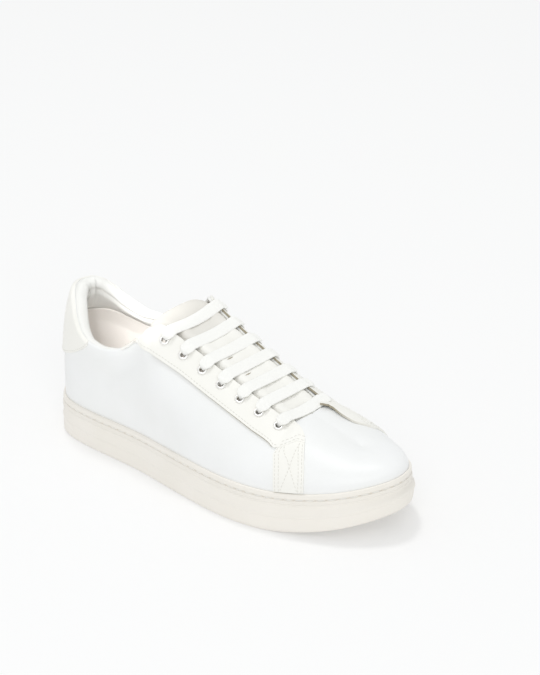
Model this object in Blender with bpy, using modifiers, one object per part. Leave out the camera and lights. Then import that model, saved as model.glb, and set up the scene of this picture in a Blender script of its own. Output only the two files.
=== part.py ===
"""Low lace-up sneaker for the right foot, built of the pieces a maker joins.

A moulded cupsole, an insole, one hollow upper, a tongue, two eyestays with their
straps, a heel tab, fourteen eyelets and the seven bars of a flat lace.

Frame: +X to the toe, +Y to the shoe's left (its medial side), +Z up, floor at 0.
Tables and sizes are in millimetres, measured from the back of the heel along X
and from the last's middle line along Y. place() turns them into metres about
the middle of the shoe's box.
"""

import math

import bmesh
import bpy
import numpy as np
from mathutils import Matrix, Vector

# ---- driving sizes, millimetres ----
LENGTH = 297.0              # cupsole, heel to toe
BOX_MIDDLE = (148.5, -1.74)  # middle of the shoe's box, from heel back and middle line

RIM_HEEL = 27.1             # height of the rim at the heel
RIM_WAIST = 29.5            # and from the waist forward
RIM_SPRING = 13.7           # its rise at the toe
TREAD_SPRING = 18.2         # rise of the tread at the toe
SPRING_START = 0.70         # where both begin, as a part of the length
FLOOR_HEEL = 16.0           # rubber under the insole at the heel
FLOOR_TOE = 9.0             # and under the toes
RIM_THICKNESS = 1.5         # the cup's wall beside the upper
INSOLE_THICKNESS = 4.0

GAP = 0.3                   # clear space between pieces that meet
WALL = 2.0                  # the upper's wall
COLLAR_WALL = 8.0           # its padded edge round the collar
OVERLAY = 1.2               # thickness of eyestays and heel tab
TONGUE_WALL = 3.2

EYELETS = 7                 # on each side
FIRST_EYELET = 114.4        # its place along X
EYELET_STEP = 16.0
EYELET_INSET = 9.0          # from the throat's edge
BORE_RADIUS = 1.9
BARREL_RADIUS = 2.3
FLANGE_RADIUS = 3.5
HOLE_RADIUS = 2.8           # hole through eyestay and wall

LACE_WIDTH = 9.0
LACE_END_WIDTH = 4.0        # where it goes down into an eyelet
LACE_THICKNESS = 1.4
LACE_ARCH = 0.12            # how much the bars bow up over the throat


def table(columns, *rows):
    """A short table: one array for each named column."""
    return {name: np.array(values, float) for name, values in zip(columns.split(), zip(*rows))}


# The cupsole in plan: half widths beside the middle line, right round its foot.
SOLE_PLAN = table(
    "x lateral medial",
    (4.5, 13.4, 13.1),
    (14.9, 26.2, 25.9),
    (35.6, 34.2, 35.2),
    (65.3, 37.8, 37.2),
    (98.0, 41.0, 35.2),
    (127.7, 46.6, 35.2),
    (157.4, 52.0, 40.2),
    (187.1, 55.3, 47.8),
    (216.8, 53.4, 51.8),
    (246.5, 45.4, 48.6),
    (270.3, 34.2, 38.8),
    (286.6, 20.2, 26.4),
)
PLAN_ENDS = (-0.2, 2.2)     # Y of the outline's heel and toe points
RIM_INSET = 0.5             # how far the rim stands back from the foot

# The cupsole's side, bottom to top: how far it stands out, and its height as a
# part of the wall (share) plus a distance down from the rim (below).
SIDE_STEPS = table(
    "out share below",
    (-1.4, 0.00, 0.0),
    (0.0, 0.05, 0.0),
    (0.2, 0.36, 0.0),
    (0.7, 0.40, 0.0),
    (0.2, 0.45, 0.0),
    (0.1, 1.00, 8.8),
    (0.6, 1.00, 8.4),
    (0.6, 1.00, 6.6),
    (0.1, 1.00, 6.2),
    (0.0, 1.00, 5.2),
    (-0.8, 1.00, 4.9),
    (-0.8, 1.00, 4.0),
    (0.0, 1.00, 3.7),
    (0.0, 1.00, 0.7),
    (-0.7, 1.00, 0.0),
)

# Slots across the tread between its main bars: X, half length, slant of the ends.
SLOT_DEPTH = 1.6
SLOT_WIDTH = 3.2
SLOT_MIDDLE = -2.0
TREAD_SLOTS = (
    (28.0, 20.0, 0.0),
    (42.0, 24.0, 0.0),
    (56.0, 25.0, 0.0),
    (70.0, 25.0, 0.0),
    (160.0, 33.0, 3.0),
    (174.0, 36.0, 3.0),
    (188.0, 38.0, 3.0),
    (202.0, 40.0, 3.0),
    (216.0, 40.0, 3.0),
    (230.0, 38.0, 3.0),
)

# The upper, section by section round the last. Each section rises from its foot,
# at this X on the rim, to its top: on the collar, the throat's edge or the ridge
# of the vamp. Slope is how steeply the top falls outward, in degrees; rise and
# reach say how full the section is near foot and top, as parts of its chord.
UPPER_LATERAL = table(
    "foot x y z slope rise reach",
    (0.0, 11.0, 0.0, 107.5, 66, 0.36, 0.28),
    (4.0, 13.5, -8.0, 107.5, 67, 0.36, 0.28),
    (10.0, 17.5, -14.0, 105.5, 69, 0.36, 0.28),
    (20.0, 24.0, -20.5, 99.5, 72, 0.36, 0.29),
    (31.0, 31.0, -26.3, 91.8, 75, 0.36, 0.30),
    (42.0, 38.5, -30.3, 85.8, 77, 0.36, 0.30),
    (54.0, 47.0, -32.8, 82.0, 79, 0.36, 0.30),
    (68.0, 59.0, -33.8, 81.0, 80, 0.36, 0.30),
    (83.0, 72.0, -33.8, 83.6, 79, 0.36, 0.30),
    (96.0, 84.0, -33.4, 89.2, 75, 0.36, 0.30),
    (107.0, 93.5, -32.6, 96.6, 67, 0.36, 0.30),
    (115.0, 99.5, -31.0, 103.6, 56, 0.36, 0.31),
    (121.0, 103.2, -27.5, 108.0, 45, 0.36, 0.32),
    (128.0, 108.0, -22.5, 108.8, 37, 0.36, 0.34),
    (142.0, 122.0, -20.6, 103.0, 34, 0.35, 0.36),
    (160.0, 145.0, -19.0, 92.8, 30, 0.34, 0.38),
    (180.0, 168.0, -17.6, 82.8, 27, 0.33, 0.40),
    (199.0, 191.0, -16.0, 73.2, 23, 0.32, 0.42),
    (214.0, 208.0, -14.8, 66.6, 19, 0.31, 0.43),
    (224.0, 214.0, -10.8, 64.2, 12, 0.31, 0.44),
    (232.0, 217.4, -3.8, 65.0, 5, 0.31, 0.45),
    (239.0, 218.8, 3.2, 65.4, 1, 0.31, 0.45),
    (252.0, 232.5, 3.5, 62.7, 5, 0.31, 0.44),
    (265.0, 242.5, 3.8, 60.2, 8, 0.31, 0.42),
    (277.0, 250.5, 4.0, 58.0, 11, 0.32, 0.40),
    (289.0, 256.2, 4.1, 56.4, 15, 0.33, 0.38),
    (297.0, 258.0, 4.2, 55.9, 17, 0.33, 0.38),
)
UPPER_MEDIAL = table(
    "foot x y z slope rise reach",
    (0.0, 11.0, 0.0, 107.5, 66, 0.36, 0.28),
    (4.0, 13.5, 8.0, 107.5, 67, 0.36, 0.28),
    (10.0, 17.5, 14.0, 105.5, 69, 0.36, 0.28),
    (20.0, 24.0, 20.9, 98.9, 72, 0.36, 0.29),
    (31.0, 31.0, 26.6, 90.6, 75, 0.36, 0.30),
    (42.0, 38.5, 30.6, 84.6, 77, 0.36, 0.30),
    (54.0, 47.0, 33.2, 80.9, 79, 0.36, 0.30),
    (68.0, 59.0, 34.6, 80.4, 80, 0.36, 0.30),
    (83.0, 72.0, 35.2, 83.4, 79, 0.36, 0.30),
    (96.0, 84.0, 35.6, 89.4, 75, 0.36, 0.30),
    (107.0, 93.5, 35.8, 97.0, 67, 0.36, 0.30),
    (115.0, 99.5, 35.0, 104.0, 56, 0.36, 0.31),
    (121.0, 103.2, 32.2, 108.4, 45, 0.36, 0.32),
    (128.0, 108.0, 27.6, 109.2, 37, 0.36, 0.34),
    (142.0, 122.0, 25.4, 103.2, 34, 0.35, 0.36),
    (160.0, 145.0, 24.0, 92.8, 30, 0.34, 0.38),
    (180.0, 168.0, 23.2, 82.8, 27, 0.33, 0.40),
    (199.0, 191.0, 22.2, 73.2, 23, 0.32, 0.42),
    (214.0, 208.0, 21.0, 66.8, 19, 0.31, 0.43),
    (224.0, 214.0, 17.0, 64.4, 12, 0.31, 0.44),
    (232.0, 217.4, 10.2, 65.1, 5, 0.31, 0.45),
    (239.0, 218.8, 3.2, 65.4, 1, 0.31, 0.45),
    (252.0, 232.5, 3.5, 62.7, 5, 0.31, 0.44),
    (265.0, 242.5, 3.8, 60.2, 8, 0.31, 0.42),
    (277.0, 250.5, 4.0, 58.0, 11, 0.32, 0.40),
    (289.0, 256.2, 4.1, 56.4, 15, 0.33, 0.38),
    (297.0, 258.0, 4.2, 55.9, 17, 0.33, 0.38),
)
BULGE = 0.03                # how far a section's foot leans out as it rises
SECTION_ROWS = (0.0, 0.1, 0.23, 0.38, 0.54, 0.7, 0.86, 1.0)

# Side view of the overlays' lower edges.
EYESTAY_EDGE = table(
    "x z",
    (84.0, 98.8),
    (94.0, 96.0),
    (103.0, 94.0),
    (113.0, 91.2),
    (134.0, 84.2),
    (154.0, 76.4),
    (176.0, 68.4),
    (197.0, 61.0),
    (207.0, 58.0),
    (213.0, 56.0),
    (216.0, 54.4),
)
STRAP_REAR = table("x z", (219.4, 51.6), (222.4, 48.1), (225.0, 43.5), (226.8, 38.0), (227.8, 31.0), (228.0, 25.0))
# Plan of the vamp where the eyestays leave it bare, and the strap's front edges.
VAMP_LATERAL = table(
    "x y",
    (213.0, 3.4),
    (214.5, -12.0),
    (220.0, -13.4),
    (226.0, -15.9),
    (231.4, -19.8),
    (236.2, -26.2),
    (241.2, -32.9),
    (245.9, -38.6),
    (248.6, -43.0),
    (250.0, -62.0),
)
VAMP_MEDIAL = table("x y", (213.0, 3.4), (219.0, 18.5), (232.0, 17.0), (242.0, 19.5), (250.0, 30.0), (253.6, 62.0))
TAB_EDGE = table("x z", (-10.0, 55.4), (4.0, 57.6), (19.0, 61.8), (32.0, 67.6), (43.5, 75.0), (53.0, 85.0))

# The tongue, from its top end to the end under the vamp. Along is measured from
# the throat's top, and is negative past it; arch is how much it bows up, and slip
# how far it has slipped to the lateral side.
TONGUE = table(
    "along half_width arch slip",
    (-6.5, 12.0, 0.56, 6.0),
    (-5.5, 17.0, 0.56, 6.0),
    (-3.0, 21.5, 0.56, 6.0),
    (3.0, 24.0, 0.56, 6.0),
    (24.0, 25.6, 0.72, 4.6),
    (60.0, 25.8, 1.00, 2.3),
    (110.0, 25.0, 1.10, 1.0),
    (132.0, 22.0, 1.15, 0.0),
)
TONGUE_NOD = 0.10           # how fast the top end turns down, per millimetre
TONGUE_FOOT = 121.0         # foot of the section at the throat's top
TONGUE_CLEAR = 0.9          # between tongue and wall


# ---- curves ----
def smooth(knots, values):
    """Cubic curve through the values, smooth in slope and in bend."""
    k, v = np.asarray(knots, float), np.asarray(values, float)
    n, h = len(k), np.diff(k)
    rows, right = np.zeros((n, n)), np.zeros(n)
    rows[0, 0] = rows[-1, -1] = 1.0
    for i in range(1, n - 1):
        rows[i, i - 1:i + 2] = h[i - 1], 2 * (h[i - 1] + h[i]), h[i]
        right[i] = 6 * ((v[i + 1] - v[i]) / h[i] - (v[i] - v[i - 1]) / h[i - 1])
    bend = np.linalg.solve(rows, right)

    def at(t):
        i = int(np.clip(np.searchsorted(k, t) - 1, 0, n - 2))
        a, b, w = k[i + 1] - t, t - k[i], h[i]
        ends = (bend[i] * a ** 3 + bend[i + 1] * b ** 3) / (6 * w)
        line = (v[i] / w - bend[i] * w / 6) * a + (v[i + 1] / w - bend[i + 1] * w / 6) * b
        return ends + line

    return at


def steady(knots, values):
    """Curve through the values that never swings past them."""
    k, v = np.asarray(knots, float), np.asarray(values, float)
    h = np.diff(k)
    steps = np.diff(v) / h
    slopes = np.concatenate([[steps[0]], np.zeros(len(k) - 2), [steps[-1]]])
    for i in range(1, len(k) - 1):
        if steps[i - 1] * steps[i] > 0:
            w1, w2 = 2 * h[i] + h[i - 1], h[i] + 2 * h[i - 1]
            slopes[i] = (w1 + w2) / (w1 / steps[i - 1] + w2 / steps[i])

    def at(t):
        i = int(np.clip(np.searchsorted(k, t) - 1, 0, len(k) - 2))
        s = (t - k[i]) / h[i]
        start, end = v[i], v[i + 1]
        pull = (s * (1 - s) ** 2 * slopes[i] - s ** 2 * (1 - s) * slopes[i + 1]) * h[i]
        return start + (end - start) * s * s * (3 - 2 * s) + pull

    return at


def turn(x):
    """Angle round the last, from 0 at the heel to pi at the toe, for an X."""
    return np.arccos(np.clip(1 - 2 * np.asarray(x, float) / LENGTH, -1, 1))


def both_sides(knots, lateral, medial, ends):
    """Knots and values right round the last: medial angles are negative."""
    turns = np.concatenate([-turn(knots)[::-1], [0.0], turn(knots)])
    values = np.concatenate([medial[::-1], [ends[0]], lateral])
    turns = np.concatenate([[-math.pi], turns, [math.pi]])
    values = np.concatenate([[ends[1]], values, [ends[1]]])
    wrap = 2 * math.pi
    turns = np.concatenate([turns[-4:-1] - wrap, turns, turns[1:4] + wrap])
    return turns, np.concatenate([values[-4:-1], values, values[1:4]])


PLAN = smooth(*both_sides(SOLE_PLAN["x"], -SOLE_PLAN["lateral"], SOLE_PLAN["medial"], PLAN_ENDS))


def plan_point(angle, inset=0.0):
    """Point of the cupsole's outline moved in by inset, and the way outward there."""
    def on(a):
        return np.array([LENGTH * (1 - math.cos(a)) / 2, PLAN(a)])

    tangent = on(angle + 0.001) - on(angle - 0.001)
    outward = np.array([tangent[1], -tangent[0]]) / np.linalg.norm(tangent)
    return on(angle) - outward * inset, outward


def spring(x):
    return max(0.0, (x / LENGTH - SPRING_START) / (1 - SPRING_START)) ** 2


def tread_z(x):
    return TREAD_SPRING * spring(x)


def rim_z(x):
    waist = min(max(x / (0.5 * LENGTH), 0.0), 1.0)
    return RIM_HEEL + (RIM_WAIST - RIM_HEEL) * waist + RIM_SPRING * spring(x)


def floor_z(x):
    fall = min(max((x / LENGTH - 0.25) / 0.45, 0.0), 1.0)
    return tread_z(x) + FLOOR_HEEL + (FLOOR_TOE - FLOOR_HEEL) * fall * fall * (3 - 2 * fall)


# ---- the upper's own surface ----
def upper_curves():
    curves = {}
    for name in ("x", "y", "z", "slope", "rise", "reach"):
        lateral, medial = UPPER_LATERAL[name], UPPER_MEDIAL[name]
        turns = turn(UPPER_LATERAL["foot"])
        knots = np.concatenate([-turns[:0:-1], turns])
        curves[name] = steady(knots, np.concatenate([medial[:0:-1], lateral]))
    return curves


UPPER = upper_curves()
RIDGE_START = float(turn(239.0))    # from here to the toe both sides meet on the ridge


def section(angle):
    """The four control points of the upper's section at this angle."""
    foot, outward = plan_point(angle, RIM_INSET + RIM_THICKNESS + GAP)
    shared = abs(angle) if abs(angle) >= RIDGE_START else angle
    top = np.array([UPPER[name](shared) for name in "xyz"])
    out = np.array([outward[0], outward[1], 0.0])
    up = np.array([0.0, 0.0, 1.0])
    low = np.array([foot[0], foot[1], rim_z(foot[0])])
    chord = np.linalg.norm(top - low)
    slope = math.radians(UPPER["slope"](angle))
    lean = up + BULGE * out
    return (
        low,
        low + lean * UPPER["rise"](angle) * chord,
        top + (out * math.cos(slope) - up * math.sin(slope)) * UPPER["reach"](angle) * chord,
        top,
    )


def bare_point(angle, v):
    a, b, c, d = section(angle)
    u = 1 - v
    return a * u ** 3 + 3 * b * u * u * v + 3 * c * u * v * v + d * v ** 3


def upper_normal(angle, v):
    """Outward normal of the upper at this section and height."""
    v = min(v, 0.985)
    step = 0.004
    along = bare_point(angle + step, v) - bare_point(angle - step, v)
    upward = bare_point(angle, v + 0.01) - bare_point(angle, v - 0.01)
    normal = np.cross(along, upward)
    return normal / np.linalg.norm(normal)


def upper_point(angle, v, out=0.0):
    """Point of the upper's outer face, out millimetres off it."""
    return bare_point(angle, v) + upper_normal(angle, v) * out


# ---- meshes ----
def place(point):
    return (
        (point[0] - BOX_MIDDLE[0]) / 1000,
        (point[1] - BOX_MIDDLE[1]) / 1000,
        point[2] / 1000,
    )


def material(name, colour, roughness, metallic=0.0):
    made = bpy.data.materials.new(name)
    made.use_nodes = True
    shader = made.node_tree.nodes["Principled BSDF"]
    linear = [((c + 0.055) / 1.055) ** 2.4 if c > 0.04045 else c / 12.92 for c in colour]
    shader.inputs["Base Color"].default_value = (*linear, 1.0)
    shader.inputs["Roughness"].default_value = roughness
    shader.inputs["Metallic"].default_value = metallic
    made.diffuse_color = (*linear, 1.0)
    return made


def piece(name, bm, look, into, closed=True):
    """One named object of a bmesh, its faces turned outward."""
    bmesh.ops.remove_doubles(bm, verts=bm.verts, dist=1e-5)
    if closed:
        bmesh.ops.recalc_face_normals(bm, faces=bm.faces)
    mesh = bpy.data.meshes.new(name)
    bm.to_mesh(mesh)
    bm.free()
    made = bpy.data.objects.new(name, mesh)
    if look:
        mesh.materials.append(look)
    else:
        made.hide_render = True
        made.display_type = "WIRE"
    into.objects.link(made)
    return made


def add_grid(bm, rows, closed=False, split=False):
    """Faces between rows of points; closed joins each row's ends, split makes triangles."""
    grid = [[bm.verts.new(place(p)) for p in row] for row in rows]
    for low, high in zip(grid, grid[1:]):
        count = len(low)
        for i in range(count if closed else count - 1):
            j = (i + 1) % count
            if split:
                bm.faces.new((low[i], low[j], high[j]))
                bm.faces.new((low[i], high[j], high[i]))
            else:
                bm.faces.new((low[i], low[j], high[j], high[i]))
    return grid


def ladder(bm, ring):
    """Close a ring of the last's outline with rungs from side to side."""
    count = len(ring)
    for i in range(count // 2):
        a, b = ring[i], ring[i + 1]
        c, d = ring[(count - i - 1) % count], ring[(count - i) % count]
        corners = [a, b] + ([c] if c is not b else []) + ([d] if d is not a else [])
        bm.faces.new(corners)


def cut(target, cutter, operation):
    step = target.modifiers.new(cutter.name, "BOOLEAN")
    step.operation = operation
    step.solver = "EXACT"
    step.object = cutter


def stations(count):
    """Angles right round the last, from the heel along the lateral side."""
    return [2 * math.pi * i / count for i in range(count)]


def wrap(angle):
    return angle - 2 * math.pi if angle > math.pi else angle


# ---- pieces ----
def outline_prism(name, points, y_low, y_high, into):
    """A cutter: an outline in side view, drawn out along Y."""
    bm = bmesh.new()
    near = [bm.verts.new(place((x, y_low, z))) for x, z in points]
    far = [bm.verts.new(place((x, y_high, z))) for x, z in points]
    bm.faces.new(near)
    bm.faces.new(far[::-1])
    for i in range(len(points)):
        j = (i + 1) % len(points)
        bm.faces.new((near[i], far[i], far[j], near[j]))
    return piece(name, bm, None, into)


def cupsole(into, cutters, look):
    angles = [wrap(a) for a in stations(72)]
    rings = []
    for out, share, below in zip(*(SIDE_STEPS[c] for c in ("out", "share", "below"))):
        ring = []
        for angle in angles:
            point, _ = plan_point(angle, RIM_INSET * share - out)
            low, high = tread_z(point[0]), rim_z(point[0])
            ring.append((point[0], point[1], low + (high - low) * share - below))
        rings.append(ring)
    for height in (rim_z, floor_z):
        inner = [plan_point(angle, RIM_INSET + RIM_THICKNESS)[0] for angle in angles]
        rings.append([(p[0], p[1], height(p[0])) for p in inner])
    bm = bmesh.new()
    grid = add_grid(bm, rings, closed=True)
    ladder(bm, grid[0])
    ladder(bm, grid[-1])
    sole = piece("cupsole", bm, look, into)

    bm = bmesh.new()
    for x, half, slant in TREAD_SLOTS:
        top, low = tread_z(x) + SLOT_DEPTH, -3.0
        corners = []
        for z in (low, top):
            for dx, dy in ((-1, -1), (1, -1), (1, 1), (-1, 1)):
                shift = dy * slant
                corners.append(bm.verts.new(place((x + dx * SLOT_WIDTH / 2 + shift, SLOT_MIDDLE + dy * half, z))))
        for face in ((0, 1, 2, 3), (4, 5, 6, 7), (0, 1, 5, 4), (1, 2, 6, 5), (2, 3, 7, 6), (3, 0, 4, 7)):
            bm.faces.new([corners[i] for i in face])
    cut(sole, piece("tread_slots", bm, None, cutters), "DIFFERENCE")
    return sole


def insole(into, look):
    inset = RIM_INSET + RIM_THICKNESS + GAP + WALL + 2 * GAP
    angles = [wrap(a) for a in stations(72)]
    rings = []
    for extra, lift in ((0.0, GAP), (0.0, INSOLE_THICKNESS - 0.8 + GAP), (0.8, INSOLE_THICKNESS + GAP)):
        inner = [plan_point(angle, inset + extra)[0] for angle in angles]
        rings.append([(p[0], p[1], floor_z(p[0]) + lift) for p in inner])
    bm = bmesh.new()
    grid = add_grid(bm, rings, closed=True)
    ladder(bm, grid[0])
    ladder(bm, grid[-1])
    return piece("insole", bm, look, into)


def section_angles(first=0, last=None):
    """Angles of the table's sections, with one more between each two where the last turns."""
    feet = list(UPPER_LATERAL["foot"])[first:last]
    angles = []
    for a, b in zip(feet, feet[1:]):
        angles.append(float(turn(a)))
        if a < 50 or 100 < a < 130 or a > 195:
            angles.append((float(turn(a)) + float(turn(b))) / 2)
    return angles + [float(turn(feet[-1]))]


def upper(into, cutters, look):
    half = section_angles()
    angles = half + [-a for a in half[-2:0:-1]]
    rows = []
    foot = [bare_point(a, 0.0) for a in angles]
    rows.append([(p[0], p[1], floor_z(p[0]) + GAP) for p in foot])
    rows += [[bare_point(a, v) for a in angles] for v in SECTION_ROWS]
    bm = bmesh.new()
    padding = bm.verts.layers.deform.verify()
    grid = add_grid(bm, rows, closed=True, split=True)
    for height, row in zip((0.0,) + SECTION_ROWS, grid):
        for angle, vertex in zip(angles, row):
            rear = np.interp(UPPER["x"](angle), (30.0, 70.0, 100.0), (1.0, 0.5, 0.0))
            vertex[padding][0] = rear * float(np.interp(height, (0.5, 0.88), (0.0, 1.0)))
    shell = piece("upper", bm, look, into, closed=False)
    shell.vertex_groups.new(name="collar")
    wall = shell.modifiers.new("wall", "SOLIDIFY")
    wall.thickness = COLLAR_WALL / 1000
    wall.offset = -1.0
    wall.vertex_group = "collar"
    wall.thickness_vertex_group = WALL / COLLAR_WALL
    return shell


def overlay_form(name, angles, rows, look, into):
    """A skin over the upper, from GAP off it to GAP plus its thickness."""
    bm = bmesh.new()
    inner = [[upper_point(a, v, GAP + 0.05) for a in angles] for v in rows]
    outer = [[upper_point(a, v, GAP + 0.05 + OVERLAY) for a in angles] for v in rows]
    count = len(angles)
    inside = add_grid(bm, inner, split=True)
    outside = add_grid(bm, outer, split=True)
    for low, high in ((inside[0], outside[0]), (inside[-1], outside[-1])):
        for i in range(count - 1):
            bm.faces.new((low[i], low[i + 1], high[i + 1], high[i]))
    for i in (0, -1):
        for row in range(len(rows) - 1):
            bm.faces.new((inside[row][i], inside[row + 1][i], outside[row + 1][i], outside[row][i]))
    return piece(name, bm, look, into)


def eyestay(side, vamp, into, cutters, look):
    sign = 1 if side == "lateral" else -1
    first = int(np.searchsorted(UPPER_LATERAL["foot"], 83.0))
    last = int(np.searchsorted(UPPER_LATERAL["foot"], 277.0)) + 1
    angles = sorted(sign * a for a in section_angles(first, last))
    rows = (0.012,) + SECTION_ROWS[1:-1] + (0.995,)
    stay = overlay_form("eyestay_" + side, angles, rows, look, into)
    edge = list(zip(EYESTAY_EDGE["x"], EYESTAY_EDGE["z"])) + list(zip(STRAP_REAR["x"], STRAP_REAR["z"]))
    outline = edge + [(275.0, 25.0), (275.0, 130.0), (84.0, 130.0)]
    reach = (-70.0, UPPER["y"](math.pi)) if sign > 0 else (UPPER["y"](math.pi), 70.0)
    cut(stay, outline_prism("eyestay_outline_" + side, outline, *reach, cutters), "INTERSECT")
    cut(stay, vamp, "DIFFERENCE")
    return stay


def vamp_opening(cutters):
    """A cutter: the vamp's plan in front of the eyestays, drawn up through them."""
    lateral = list(zip(VAMP_LATERAL["x"], VAMP_LATERAL["y"]))
    medial = list(zip(VAMP_MEDIAL["x"], VAMP_MEDIAL["y"]))
    outline = lateral + [(285.0, -62.0), (285.0, 62.0)] + medial[:0:-1]
    bm = bmesh.new()
    low = [bm.verts.new(place((x, y, 20.0))) for x, y in outline]
    high = [bm.verts.new(place((x, y, 90.0))) for x, y in outline]
    bm.faces.new(low[::-1])
    bm.faces.new(high)
    for i in range(len(outline)):
        j = (i + 1) % len(outline)
        bm.faces.new((low[i], low[j], high[j], high[i]))
    return piece("vamp_opening", bm, None, cutters)


def heel_tab(into, cutters, look):
    last = int(np.searchsorted(UPPER_LATERAL["foot"], 83.0)) + 1
    half = section_angles(0, last)
    angles = [-a for a in half[:0:-1]] + half
    tab = overlay_form("heel_tab", angles, SECTION_ROWS[1:-1] + (0.995,), look, into)
    edge = list(zip(TAB_EDGE["x"], TAB_EDGE["z"]))
    outline = edge + [(55.0, 130.0), (-10.0, 130.0)]
    cut(tab, outline_prism("heel_tab_outline", outline, -70.0, 70.0, cutters), "INTERSECT")
    return tab


def across(angle, drop, arch, first=0.7, count=9):
    """Points right across the throat, from side to side, drop below the upper's face."""
    steps = np.linspace(first, 1.0, count)
    sides = []
    for sign in (1, -1):
        sides.append([upper_point(sign * angle, v, -drop) for v in steps])
    lateral, medial = sides
    points = list(lateral)
    span = np.linalg.norm(medial[-1] - lateral[-1])
    if span > 0.5:
        pulls = []
        for side in (lateral, medial):
            pull = side[-1] - side[-2]
            pulls.append(pull / np.linalg.norm(pull) * span * arch)
        for s in np.linspace(0, 1, 17)[1:-1]:
            h = (2 * s ** 3 - 3 * s ** 2 + 1, s ** 3 - 2 * s ** 2 + s, 3 * s ** 2 - 2 * s ** 3, s ** 2 - s ** 3)
            points.append(h[0] * lateral[-1] + h[1] * pulls[0] + h[2] * medial[-1] + h[3] * pulls[1])
        points.append(medial[-1])
    return np.array(points + medial[-2::-1])


def along_line(points, distances, centre):
    """Points at these distances along a line, measured from its point nearest centre."""
    steps = np.concatenate([[0.0], np.cumsum(np.linalg.norm(np.diff(points, axis=0), axis=1))])
    middle = np.interp(centre, points[:, 1], steps)
    return [np.array([np.interp(middle + d, steps, points[:, k]) for k in range(3)]) for d in distances]


def ridge_y(x):
    return 2.3 + 1.9 * min(max((x - 100) / 158, 0.0), 1.0)


def tongue(into, look):
    angles = np.linspace(float(turn(TONGUE_FOOT)), float(turn(249.0)), 33)
    arch = steady(TONGUE["along"], TONGUE["arch"])
    half_width = steady(TONGUE["along"], TONGUE["half_width"])
    slip = steady(TONGUE["along"], TONGUE["slip"])

    def crossing(angle, along):
        line = across(angle, WALL + TONGUE_CLEAR, arch(along))
        return line, ridge_y(line[len(line) // 2][0]) - slip(along)

    middles = np.array([along_line(*crossing(a, 0.0)[:1], [0.0], ridge_y(150.0))[0] for a in angles])
    lengths = np.concatenate([[0.0], np.cumsum(np.linalg.norm(np.diff(middles, axis=0), axis=1))])
    back = (middles[0] - middles[2]) / np.linalg.norm(middles[0] - middles[2])
    rows = []
    for along in (-6.5, -6.1, -5.2, -3.6, -1.5, 1.5, 7, 15, 26, 40, 55, 70, 85, 100, 112, 122, 130):
        line, middle = crossing(float(np.interp(along, lengths, angles)), along)
        past = max(-along, 0.0)
        line = line + back * past - np.array([0.0, 0.0, TONGUE_NOD]) * past ** 2
        spread = np.linspace(-1, 1, 11) * half_width(along)
        rows.append(along_line(line, spread, middle))
    bm = bmesh.new()
    add_grid(bm, rows[::-1])
    made = piece("tongue", bm, look, into, closed=False)
    wall = made.modifiers.new("padding", "SOLIDIFY")
    wall.thickness = TONGUE_WALL / 1000
    wall.offset = -1.0
    return made


def eyelet_seats():
    """For each side, the angle, height and axis of its eyelets."""
    seats = {}
    for side, sign in (("lateral", 1), ("medial", -1)):
        rows = []
        for number in range(EYELETS):
            target = FIRST_EYELET + number * EYELET_STEP
            low, high = float(turn(110.0)), float(turn(232.0))
            for _ in range(40):
                angle = (low + high) / 2
                v = 1.0
                while np.linalg.norm(bare_point(sign * angle, v) - bare_point(sign * angle, 1.0)) < EYELET_INSET:
                    v -= 0.004
                if bare_point(sign * angle, v)[0] < target:
                    low = angle
                else:
                    high = angle
            rows.append((sign * angle, v))
        seats[side] = rows
    return seats


def eyelets(seats, into, look):
    """Turned rings, each a flange on the eyestay and a barrel through the wall."""
    top = GAP + 0.05 + OVERLAY + GAP
    profile = (
        (BORE_RADIUS, top + 0.65),
        (FLANGE_RADIUS - 0.3, top + 0.65),
        (FLANGE_RADIUS, top),
        (BARREL_RADIUS, top),
        (BARREL_RADIUS, -WALL - 0.1),
        (BORE_RADIUS, -WALL - 0.1),
    )
    mesh = bpy.data.meshes.new("eyelet")
    edges = [(i, (i + 1) % len(profile)) for i in range(len(profile))]
    mesh.from_pydata([(r / 1000, 0.0, z / 1000) for r, z in profile], edges, [])
    mesh.materials.append(look)
    for side, rows in seats.items():
        for number, (angle, v) in enumerate(rows, 1):
            ring = bpy.data.objects.new(f"eyelet_{side}_{number}", mesh)
            ring.location = place(bare_point(angle, v))
            ring.rotation_mode = "QUATERNION"
            ring.rotation_quaternion = Vector(upper_normal(angle, v)).to_track_quat("Z", "X")
            turned = ring.modifiers.new("turn", "SCREW")
            turned.steps = turned.render_steps = 8
            turned.use_merge_vertices = True
            turned.merge_threshold = 0.00001
            into.objects.link(ring)


def eyelet_holes(side, rows, targets, cutters):
    """One cutter with a drill for each eyelet of a side."""
    bm = bmesh.new()
    for angle, v in rows:
        aim = Vector(upper_normal(angle, v)).to_track_quat("Z", "X").to_matrix().to_4x4()
        bmesh.ops.create_cone(
            bm,
            cap_ends=True,
            segments=10,
            radius1=HOLE_RADIUS / 1000,
            radius2=HOLE_RADIUS / 1000,
            depth=0.012,
            matrix=Matrix.Translation(place(bare_point(angle, v))) @ aim,
        )
    drills = piece("eyelet_drills_" + side, bm, None, cutters)
    for target in targets:
        cut(target, drills, "DIFFERENCE")


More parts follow.
